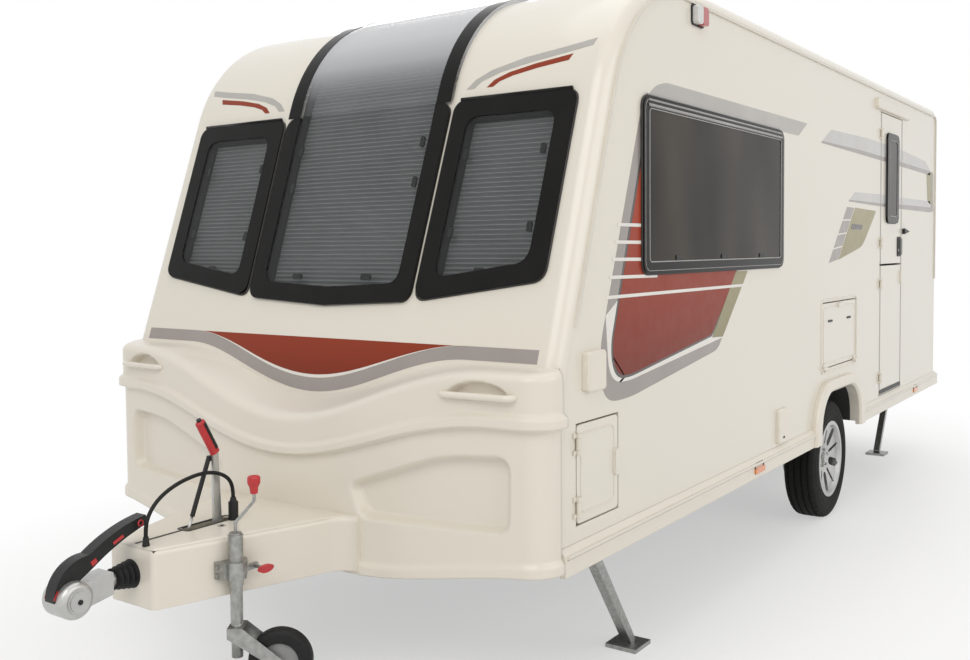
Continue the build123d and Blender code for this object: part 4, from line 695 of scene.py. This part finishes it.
def inside_depth(y, z, corners):
    """Distance from a point to a polygon's edge, positive inside."""
    best, inside = 9.0, False
    for (ay, az), (by, bz) in zip(corners, corners[1:] + corners[:1]):
        ey, ez = by - ay, bz - az
        t = max(0.0, min(1.0, ((y - ay) * ey + (z - az) * ez) / (ey * ey + ez * ez)))
        best = min(best, hypot(y - ay - t * ey, z - az - t * ez))
        if (az > z) != (bz > z) and y < ay + (z - az) / (bz - az) * ey:
            inside = not inside
    return best if inside else -best


POCKET_SHAPE = rounded_polygon(POCKET, [0.05, 0.05, 0.05, 0.06, 0.09], 5)


def mould_relief(y, z, low):
    """How far the moulding stands out from its plan."""
    bead_low, bead_top = dip(y, 0.801, 0.965, 0.88), dip(y, 0.843, 1.014, 0.88)
    out = BEAD_OUT * smooth((z - bead_low) / 0.009) - BEAD_BACK * smooth((z - bead_top + 0.01) / 0.018)
    out += FOOT_OUT * smooth((low + 0.05 - z) / 0.022)
    side = abs(y)
    if 0.28 < side < 1.0 and 0.58 < z < 0.92:
        out -= POCKET_DEEP * smooth((inside_depth(side, z, POCKET_SHAPE) + 0.003) / 0.026)
    if abs(side - HANDLE_Y) < 0.12 and 1.05 < z < 1.15:
        oval = 1 - hypot((side - HANDLE_Y) / 0.112, (z - HANDLE_Z + 0.006) / 0.052)
        out -= RECESS_DEEP * smooth(oval / 0.16) * smooth((z - HANDLE_Z + 0.01) / 0.01)
    return out


def mould_plan():
    """Plan points of the moulding and their outward angles, from the far side on."""
    bow_x = MOULD_NOSE - MOULD_BOW
    corner_y = MOULD_HALF - MOULD_CORNER
    corner_x = bow_x + sqrt((MOULD_BOW - MOULD_CORNER) ** 2 - corner_y**2)
    turn = atan2(corner_y, corner_x - bow_x)
    near = [(bow_x + MOULD_BOW * cos(a), MOULD_BOW * sin(a), a) for a in
            (turn * k / BOW_STEPS for k in range(BOW_STEPS + 1))]
    near += [(corner_x + MOULD_CORNER * cos(a), corner_y + MOULD_CORNER * sin(a), a) for a in
             (turn + (pi / 2 - turn) * k / CORNER_STEPS for k in range(1, CORNER_STEPS + 1))]
    near.append((FRONT_X - 0.028, MOULD_HALF, pi / 2))
    return [(x, -y, -a) for x, y, a in near[:0:-1]] + near


def make_moulding():
    """The moulding's skin: face, round crest, and shelf back to the front panel."""
    columns = []
    for x, y, turn in mould_plan():
        way = vec(cos(turn), sin(turn), 0)
        low = MOULD_LOW + (FLOOR_Z - MOULD_LOW) * smooth((abs(y) - 0.36) / 0.72)
        crest = dip(y, 0.943, 1.146, 0.86)
        root_z = dip(y, 1.008, 1.158, 0.76)
        root_x = min(x - 0.004, front_surface(root_z)[0] - 0.004)
        root = vec(root_x, max(-ROOT_HALF, min(ROOT_HALF, y)), root_z)
        rows = [vec(x, y, low) - way * 0.03]
        for k in range(FACE_STEPS + 1):
            z = low + (crest - CREST_ROUND - low) * k / FACE_STEPS
            rows.append(vec(x, y, z) + way * mould_relief(y, z, low))
        edge = vec(x, y, crest) + way * mould_relief(y, crest, low)
        inner = edge + (root - edge).normalized() * min(0.045, (root - edge).length * 0.6)
        rows += bend(rows[-1], edge, inner, CREST_STEPS)[1:]
        rows += [inner.lerp(root, k / SHELF_STEPS) for k in range(1, SHELF_STEPS + 1)]
        rows.append(root - vec(0.012, 0, 0))
        columns.append(rows)
    count = len(columns[0])
    verts = [v for rows in columns for v in rows]
    faces = [(i * count + k, (i + 1) * count + k, (i + 1) * count + k + 1, i * count + k + 1)
             for i in range(len(columns) - 1) for k in range(count - 1)]
    faces += [(i * count + count - 1, (i + 1) * count + count - 1, (i + 1) * count, i * count)
              for i in range(len(columns) - 1)]
    last = (len(columns) - 1) * count
    faces += [tuple(range(count)), tuple(range(last, last + count))[::-1]]
    piece = joined("front_moulding", [(verts, faces)], "moulding", smooth=True)
    for face in piece.data.polygons[len(faces) - 2 - len(columns):]:
        face.use_smooth = False
    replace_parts(piece, "lower_front_panel")


make_moulding()


# Front windows: pleated blinds, skylight border, catches and hinge bars

BLINDS = ((-0.925, -0.484, 1.4, 2.06), (0.484, 0.925, 1.4, 2.06), (-0.38, 0.38, 1.366, 9.0))
BLIND_BACK, PLEAT_DEEP, PLEAT_STEP, CLOTH = 0.034, 0.007, 0.009, 0.001


def crown(z0, x_end, step):
    """Points and normals up the front wall, over the brow and back along the roof."""
    line, z = [], z0
    x, normal = front_surface(z)
    while normal.x > 0.05:
        line.append((vec(x, 0, z), normal))
        z += step * normal.x
        x, normal = front_surface(z)
    roof_x = line[-1][0].x - step
    while roof_x > x_end + step / 2:
        line.append((vec(roof_x, 0, ROOF_Z), vec(0, 0, 1)))
        roof_x -= step
    line.append((vec(x_end, 0, ROOF_Z), vec(0, 0, 1)))
    return line


def crown_place(line, base):
    """Placing function along a crown line: u is y, v is the point's number."""
    return lambda u, v, h: line[v][0] + vec(0, u, 0) + line[v][1] * (base + h)


def make_blinds():
    """Pleated blinds of the front windows, with a painted highlight line at each fold and pale bars up the sides."""
    pleats, highlights_and_side_bars = [], []
    for y0, y1, z0, z1 in BLINDS:
        line = [(p, n) for p, n in crown(z0, 1.334, PLEAT_STEP) if p.z < z1]
        place = crown_place(line, 0.0)
        count = len(line)
        verts = [place(y, k, -BLIND_BACK - PLEAT_DEEP * (k % 2) - back) for k in range(count)
                 for y, back in ((y0, 0.0), (y1, 0.0), (y1, CLOTH), (y0, CLOTH))]
        pleats.append((verts, quads(count, 4, False) + ends(count, 4)))
        # Thin pale bars on the folds: painted highlight of the pleat edges lit from above.
        for k in range(0, count, 2):
            highlights_and_side_bars.append(tube([place(y, k, -BLIND_BACK) for y in (y0, y1)], 0.0013, sides=4))
        for y in (y0 + 0.012, y1 - 0.012):
            highlights_and_side_bars.append(tube([place(y, k, -0.03) for k in range(0, count, 3)], 0.003, sides=6))
    piece = joined("blind_pleats", pleats, "blind")
    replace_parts(piece, "front_blinds")
    joined("blind_highlights_and_side_bars", highlights_and_side_bars, "blind_highlight_and_side_bar")


CENTRE_FRAME = [(-0.417, 1.352), (0.0, 1.33), (0.417, 1.352), (0.43, 2.092), (-0.43, 2.092)]
OUTER_FRAME = [(0.436, 1.357), (0.966, 1.436), (0.974, 2.092), (0.45, 2.092)]


def inset_polygon(corners):
    """Corners moved inwards along the raked front wall."""
    flat = [vec(y, z / cos(RAKE)) for y, z in corners]
    turn = 1 if sum(a.cross(b) for a, b in zip(flat, flat[1:] + flat[:1])) > 0 else -1
    lines = []
    for a, b in zip(flat, flat[1:] + flat[:1]):
        way = (b - a).normalized()
        lines.append((a + vec(-way.y, way.x) * turn * FRONT_BORDER, way))
    moved = []
    for (p, d), (q, e) in zip(lines[-1:] + lines[:-1], lines):
        at = p + d * ((q - p).cross(e) / d.cross(e))
        moved.append((at.x, at.y * cos(RAKE)))
    return moved


def collar(outline):
    """A thin wall round an opening in the front."""
    middle = [sum(p[k] for p in outline) / len(outline) for k in (0, 1)]
    inner = [tuple(m + (c - m) * COLLAR_SHRINK for c, m in zip(p, middle)) for p in outline]
    loops = [(outline, REVEAL_BACK), (outline, COLLAR_TOP), (inner, COLLAR_TOP), (inner, REVEAL_BACK)]
    return [front_place(u, v, h) for loop, h in loops for u, v in loop], quads(4, len(outline), True)


REVEAL_BACK, REVEAL_DEEP = -0.0335, 0.038
CORNER_REACH, CORNER_BASE = 0.055, 0.004
REVEAL_Z = 1.41
COLLAR_TOP, COLLAR_SHRINK = 0.005, 0.985


def make_front_reveals():
    """Rounded inner corners and dark walls of the front openings."""
    def fill(corners, numbers):
        return [prism([corners[i], *corner_curve(corners, i, CORNER_REACH, 8)], above(front_place, CORNER_BASE),
                      FRAME_PROUD - 0.0038) for i in numbers]
    walls = []
    centre = inset_polygon(CENTRE_FRAME)
    fills = fill(centre, (0, 2))
    line = crown(REVEAL_Z, 1.335, 0.03)
    reach = [min(0.3545, 0.3435 + 0.0185 * (p.z - REVEAL_Z)) for p, _ in line]
    for side in (1, -1):
        inner = inset_polygon([(side * y, z) for y, z in OUTER_FRAME])
        fills += fill(inner, range(4))
        walls.append(collar(inner))
        edges = [[(side * (y - back), k) for k, y in enumerate(reach)] for back in (0.0055, 0.0)]
        walls.append(strip(edges, crown_place(line, REVEAL_BACK), REVEAL_DEEP))
    low = centre[:3]
    walls.append(strip([low, [(y, z + 0.004) for y, z in low]], above(front_place, REVEAL_BACK), REVEAL_DEEP))
    joined("front_frame_corners", fills, "border")
    joined("front_frame_reveals", walls, "seal")


# Skylight border's inner and outer edge, and the front catches' (y, z, half width, half height)
SKY_EDGE = (0.36, 0.428)
FRONT_CATCHES = ((0.693, 1.466, 0.022, 0.011), (0.535, 1.888, 0.01, 0.018), (0.535, 1.602, 0.01, 0.018),
                 (0.868, 1.89, 0.01, 0.018), (0.868, 1.618, 0.01, 0.018), (0.179, 1.44, 0.024, 0.011),
                 (0.32, 1.95, 0.01, 0.02), (0.32, 1.796, 0.01, 0.02))


def make_front_window_trim():
    """Black borders that run over the brow, hinge bars, seals and catches."""
    line = crown(2.09, 1.13, 0.02)
    place = crown_place(line, FRAME_PROUD + 0.0003)
    inner, outer = SKY_EDGE
    bands = [strip([[(y, k) for k in range(len(line))] for y in pair], place, 0.0015)
             for pair in ((-outer, -inner), (inner, outer))]
    end = [k for k, (point, _) in enumerate(line) if point.x < 1.205]
    bands.append(strip([[(y, k) for k in end] for y in (-outer, outer)], place, 0.0017))
    joined("skylight_border", bands, "border")
    bars, seals, catches = [], [], []
    for side in (1, -1):
        bars.append(tube([front_place(side * y, 2.094, 0.01) for y in (0.475, 0.95)], 0.008))
        frame_edge = rounded_polygon([(side * y, z) for y, z in OUTER_FRAME], 0.048)
        seals.append(ring(frame_edge, above(front_place, 0.003), 0.005))
        for y, z, w, t in FRONT_CATCHES:
            catches.append(pad(above(front_place, -0.004), 0.008, side * y - w, side * y + w, z - t, z + t, 0.006, 4))
    rounds("front_hinge_bars", bars, "border")
    rounds("front_window_seals", seals, "seal")
    joined("front_window_catches", catches, "black")


# Side, rear and door windows: seals, pale beads as painted edge highlights, hinge rails and catches

SIDE_PANES = [(1, 0.173, 1.692, 1.445, 2.097), (-1, 0.173, 1.692, 1.445, 2.097), (-1, -1.18, -0.42, 1.48, 2.02),
              (-1, -2.76, -2.06, 1.56, 2.02)]
REAR_PANE = (-0.56, 0.56, 1.48, 2.04)
SIDE_BORDER, SIDE_CORNER = 0.046, 0.045


def pane_trim(low, high, z0, z1, place):
    """Seal, pale beads as painted edge highlights, hinge rails and catches of one window on a wall."""
    seal = loop(above(place, 0.004), 0.005, low, high, z0, z1, SIDE_CORNER)
    beads = []
    # The two pale beads inside the frame are painted highlights on the rounded edge of the domed pane.
    for inset, size in ((SIDE_BORDER - 0.001, 0.0022), (0.012, 0.0012)):
        beads.append(loop(above(place, FRAME_PROUD), size, low + inset, high - inset, z0 + inset, z1 - inset,
                          SIDE_CORNER - inset * 0.6))
    for rise, size in ((0.006, 0.0035), (-0.014, 0.004), (-0.033, 0.006)):
        height = 0.006 if rise > 0 else FRAME_PROUD
        beads.append(tube([place(u, z1 + rise, height) for u in (low + 0.04, high - 0.04)], size))
    z = z0 + SIDE_BORDER
    catches = [pad(above(place, 0.0125), 0.003, u - 0.028, u + 0.028, z + 0.004, z + 0.022, 0.006, 4)
               for u in (low + (high - low) * part for part in (0.2, 0.5, 0.8))]
    return seal, beads, catches


def make_window_trim():
    """Trim of the walls' and the door's windows."""
    seals, beads, catches = [], [], []
    for pane, place in [(pane, side_place(side)) for side, *pane in SIDE_PANES] + [(REAR_PANE, rear_place)]:
        seal, bead, catch = pane_trim(*pane, place)
        seals.append(seal)
        beads += bead
        catches += catch
    rounds("window_seals", seals, "seal")
    rounds("window_highlight_beads_and_rails", beads, "bead")
    joined("window_catches", catches, "black")
    seal = loop(side_place(1, 0.003), 0.004, -2.13, -1.83, 1.69, 2.27, 0.06)
    rounds("door_window_seal", [seal], "seal", "door_upper")
    # Pale bead: painted highlight on the door pane's rounded edge.
    bead = loop(side_place(1, FRAME_PROUD), 0.002, -2.085, -1.875, 1.735, 2.225, 0.04)
    rounds("door_window_highlight_bead", [bead], "bead", "door_upper")


# Door, hatches and wall boxes

def make_door_trim():
    """Edge lines, kick strip, handle, lock and the catch on the wall."""
    place = side_place(1)
    for body, z0, z1 in (("door_lower", 0.622, 1.41), ("door_upper", 1.43, 2.38)):
        lines = [prism(square(x0, x1, z0, z1), place, 0.0016) for x0, x1 in ((-2.256, -2.247), (-1.718, -1.709))]
        joined(f"{body}_edge_lines", lines, "bead", body)
    for name, outline, depth, finish, body in (
            ("door_kick_strip", square(-2.256, -1.709, 0.592, 0.618), 0.003, "black", "door_lower"),
            ("door_handle_plate", rounded_rect(-2.236, -2.14, 1.47, 1.602, 0.02), 0.005, "black", "door_upper"),
            ("door_handle", rounded_rect(-2.226, -2.196, 1.482, 1.59, 0.012), 0.016, "grey", "door_upper"),
            ("door_lock", circle(0.009, 20, -2.16, 1.512), 0.007, "alloy", "door_upper"),
            ("door_catch", rounded_polygon([(-2.285, 1.62), (-2.43, 1.64), (-2.285, 1.66)], 0.008), 0.018, "black",
             "body")):
        plate(name, outline, place, depth, finish, body)


WALL_BOXES = ((1, 2.006, 2.128, 1.065, 1.2), (1, 0.1, 0.235, 0.585, 0.752), (-1, 1.5, 1.7, 0.64, 0.8))
LID_INSET = 0.014


def make_hatch_trim():
    """Frames, panels and locks of the hatches and wall boxes."""
    left, right = side_place(1), side_place(-1)
    rounds("service_hatch_frame", [loop(left, 0.006, -1.162, -0.478, 0.854, 1.25, 0.03)], "moulding")
    latches = [pad(left, 0.004, x - 0.036, x + 0.036, 1.124, 1.136, 0.005, 4) for x in (-0.64, -1.0)]
    joined("service_hatch_latches", latches, "black", "service_hatch")
    bead = loop(left, 0.003, -1.122, -0.518, 0.9, 1.206, 0.03)
    rounds("service_hatch_bead", [bead], "moulding", "service_hatch")
    for name, place, panel, lock in (
            ("gas_locker", left, (1.908, 2.14, 0.664, 0.93), (1.886, 1.902, 0.77, 0.822)),
            ("cassette", right, (-2.7, -2.45, 0.676, 1.024), (-2.722, -2.706, 0.826, 0.878))):
        body = f"{name}_door"
        rounds(f"{name}_bead", [loop(place, 0.003, *panel, 0.026)], "moulding", body)
        joined(f"{name}_lock", [pad(place, 0.006, *lock, 0.006, 4)], "bead", body)
    lids, knobs = [], []
    for side, x0, x1, z0, z1 in WALL_BOXES:
        place = side_place(side, FRAME_PROUD)
        lids.append(loop(place, 0.0016, x0 + LID_INSET, x1 - LID_INSET, z0 + LID_INSET, z1 - LID_INSET, 0.012))
        x = (x0 + x1) / 2
        knobs.append(pad(place, 0.004, x - 0.014, x + 0.014, z0 + 0.022, z0 + 0.032, 0.004, 4))
    rounds("wall_box_lids", lids, "grey")
    joined("wall_box_catches", knobs, "grey")


# Lamps: coloured lenses over the plain lamp bodies

def make_lamps():
    """Lenses of the marker and rear lamps, and dark feet."""
    reds, whites, ambers, bases = [], [], [], []
    for side in (1, -1):
        place = side_place(side)
        for x0, group in ((1.188, whites), (1.133, reds)):
            group.append(pad(place, 0.0285, x0, x0 + 0.055, 2.43, 2.502, 0.014))
        bases.append(pad(place, 0.006, 1.128, 1.248, 2.425, 2.507, 0.016))
        bases += [loop(side_place(side, 0.021), 0.003, x - 0.055, x + 0.055, 0.503, 0.551, 0.012)
                  for x in (0.517, -2.626)]
        y = side * 0.85
        bases.append(pad(rear_place, 0.008, y - 0.104, y + 0.104, 0.692, 0.828, 0.02))
        for part, group in ((-1, whites), (0, ambers), (1, reds)):
            y = side * (0.85 + 0.064 * part)
            group.append(pad(rear_place, 0.02, y - 0.031, y + 0.031, 0.699, 0.821, 0.012))
    for name, parts, finish in (("lens_red", reds, "red_lens"), ("lens_white", whites, "clear_lens"),
                                ("lens_amber", ambers, "amber"), ("lamp_feet", bases, "black")):
        joined(name, parts, finish)


# Road wheels: tyre with grooves and blocks, bolts, cap and valve

WHEEL_AT = (-0.79, 0.951, 0.334)
HUB_FACE_Y, BOLT_CIRCLE, VALVE_R = 0.9945, 0.048, 0.188
TYRE_HALF = [(0.074, 0.203), (0.0795, 0.214), (0.085, 0.234), (0.0866, 0.246), (0.0884, 0.248), (0.0886, 0.256),
             (0.087, 0.258), (0.0868, 0.276), (0.088, 0.278), (0.0878, 0.284), (0.0858, 0.286), (0.0835, 0.3),
             (0.08, 0.3125), (0.0745, 0.322), (0.067, 0.3288), (0.058, 0.3325), (0.0565, 0.3255),
             (0.0485, 0.3255), (0.047, 0.3335), (0.024, 0.334), (0.0225, 0.3265), (0.0145, 0.3265),
             (0.013, 0.334)]
SHOULDER = (13, 14, 15)


def make_wheel(side, label):
    """Dressed road wheel on one side."""
    profile = TYRE_HALF + [(-a, r) for a, r in reversed(TYRE_HALF)]
    blocks = {*SHOULDER, *(len(profile) - 1 - k for k in SHOULDER)}
    at = vec(WHEEL_AT[0], side * WHEEL_AT[1], WHEEL_AT[2])
    body = f"wheel_{label}"
    tread = lathe(profile, at, (0, side, 0), 144, blocks, 0.0045)
    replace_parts(joined(f"tyre_tread_{label}", [tread], "tyre", body), f"tyre_{label}")

    def place(u, v, h):
        return vec(at.x + u, side * (HUB_FACE_Y + h), at.z + v)
    turns = [radians(90 + 72 * k) for k in range(5)]
    bolts = [prism(circle(0.0095, 6, BOLT_CIRCLE * cos(a), BOLT_CIRCLE * sin(a)), place, 0.01) for a in turns]
    joined(f"wheel_bolts_{label}", bolts, "zinc", body)
    cap = [prism(circle(0.034), place, 0.007), prism(circle(0.027), place, 0.012)]
    joined(f"wheel_cap_{label}", cap, "alloy", body)
    turn = radians(52)
    valve = [vec(at.x + VALVE_R * cos(turn), side * y, at.z + VALVE_R * sin(turn)) for y in (0.99, 1.024)]
    rounds(f"wheel_valve_{label}", [tube(valve, 0.004)], "rubber", body)


# Hitch: caps, red marks, two-tone grip, strut rod, clamp lever and the slot's edge

HEAD = vec(3.331, 0, 0.515)
GRIP_FOOT, GRIP_LEAN, GRIP_R = vec(2.768, 0, 0.858), radians(29), 0.0135
COVER_TOP = 0.6216
SCREW = (2.8, 0.066)
CLAMP = vec(2.814, 0.284, 0.52)


def make_hitch():
    """Small parts of the coupling, lever and jockey."""
    caps, dots, marks = [], [], []
    arc = [(HEAD.x + r * cos(radians(a)), HEAD.z + r * sin(radians(a)))
           for r, angles in ((0.0575, range(12, 41, 7)), (0.0615, range(40, 11, -7))) for a in angles]
    for side in (1, -1):
        def face(u, v, h):
            return vec(HEAD.x + u, side * (0.0555 + h), HEAD.z + v)

        def flank(u, v, h):
            return vec(u, side * (0.0228 + h), v)
        caps += [prism(circle(0.037), face, 0.005), prism(circle(0.031), face, 0.009)]
        dots.append(prism(circle(0.008, 20), face, 0.011))
        marks += [prism(arc, flank, 0.0016),
                  prism([(3.15, 0.66), (3.186, 0.644), (3.19, 0.653), (3.154, 0.669)], flank, 0.0018),
                  ring(circle(0.009, 20, 3.088, 0.69), above(flank, 0.0005), 0.0024),
                  prism([(3.244, 0.606), (3.262, 0.597), (3.268, 0.612), (3.25, 0.62)], flank, 0.0018)]
    joined("coupling_caps", caps, "silver")
    joined("coupling_dots", dots, "black")
    joined("stabiliser_marks", marks, "red")
    along = vec(sin(GRIP_LEAN), 0, cos(GRIP_LEAN))
    across = vec(cos(GRIP_LEAN), 0, -sin(GRIP_LEAN))

    def grip(u, v, h):
        return GRIP_FOOT + across * u + vec(0, v, 0) + along * (0.014 + h)
    back = [(-0.0055 + GRIP_R * cos(radians(a)), GRIP_R * sin(radians(a))) for a in range(90, 271, 12)]
    plate("grip_back", [(-0.001, GRIP_R)] + back + [(-0.001, -GRIP_R)], grip, 0.106, "black")
    plate("grip_button", circle(0.0085, 24), above(grip, 0.108), 0.017, "black")
    rod_foot, rod_head = vec(2.884, -0.012, 0.594), vec(2.786, -0.012, 0.838)
    way = (rod_head - rod_foot).normalized()
    rounds("strut_rod", [tube([rod_foot, rod_foot + way * 0.066], 0.0049, sides=14)], "silver")

    def top(u, v, h):
        return vec(u, v, COVER_TOP + h)
    rounds("cover_slot_edge", [loop(top, 0.0032, 2.7, 2.91, -0.028, 0.028, 0.01)], "seal")
    marks = [prism(square(2.912, 3.092, -0.006, 0.006), top, 0.0014), prism(circle(0.007, 20, *SCREW), top, 0.0016)]
    joined("cover_slot_line", marks, "seal")
    rounds("cover_screw_ring", [ring(circle(0.013, 24, *SCREW), top, 0.0016)], "grey")
    rounds("jockey_post", [tube([(2.875, 0.218, 0.404), (2.875, 0.218, 0.236)], 0.0185, sides=24)], "zinc",
           "jockey_fork")
    rounds("clamp_screw", [tube([(CLAMP.x, y, CLAMP.z) for y in (0.238, 0.29)], 0.006)], "zinc")
    oval = [(0.03 * cos(2 * pi * k / 28), 0.013 * sin(2 * pi * k / 28)) for k in range(28)]
    plate("clamp_lever", oval, lambda u, v, h: CLAMP + vec(u, h, v), 0.012, "red")
    bolts = [prism(circle(0.008, 6), lambda u, v, h: vec(2.9225 + h, 0.186 + u, z + v), 0.007)
             for z in (0.506, 0.534)]
    joined("clamp_bolts", bolts, "zinc")


# Skirt ledges with a painted shadow line under each, and the roof vent's lid line

LEDGE_Z = (0.536, 0.541, 0.553)


def make_body_trim():
    """Long ledges on the skirts with a painted shadow line under each, and the vent's edge."""
    ledges, lines = [], []
    low, middle, high = LEDGE_Z
    for side in (1, -1):
        place = side_place(side, 0.0195)
        for x0, x1 in ((-0.33, 2.262), (-3.355, -1.285)):
            ledges.append(prism(square(x0, x1, middle, high), place, 0.0065))
            # Thin grey strip under the ledge: painted shadow.
            lines.append(prism(square(x0, x1, low, middle), place, 0.001))
    joined("skirt_ledges", ledges, "moulding")
    joined("skirt_shadow_lines", lines, "bead")
    edges = [loop(lambda u, v, h: vec(u, v, z), 0.004, -0.5 + inset, -inset, -0.25 + inset, 0.25 - inset, 0.05)
             for inset, z in ((0.034, 2.6245), (0.006, 2.588))]
    rounds("vent_edges", edges, "grey")


make_blinds()
make_front_reveals()
make_front_window_trim()
make_window_trim()
make_door_trim()
make_hatch_trim()
make_lamps()
make_wheel(1, "left")
make_wheel(-1, "right")
make_hitch()
make_body_trim()
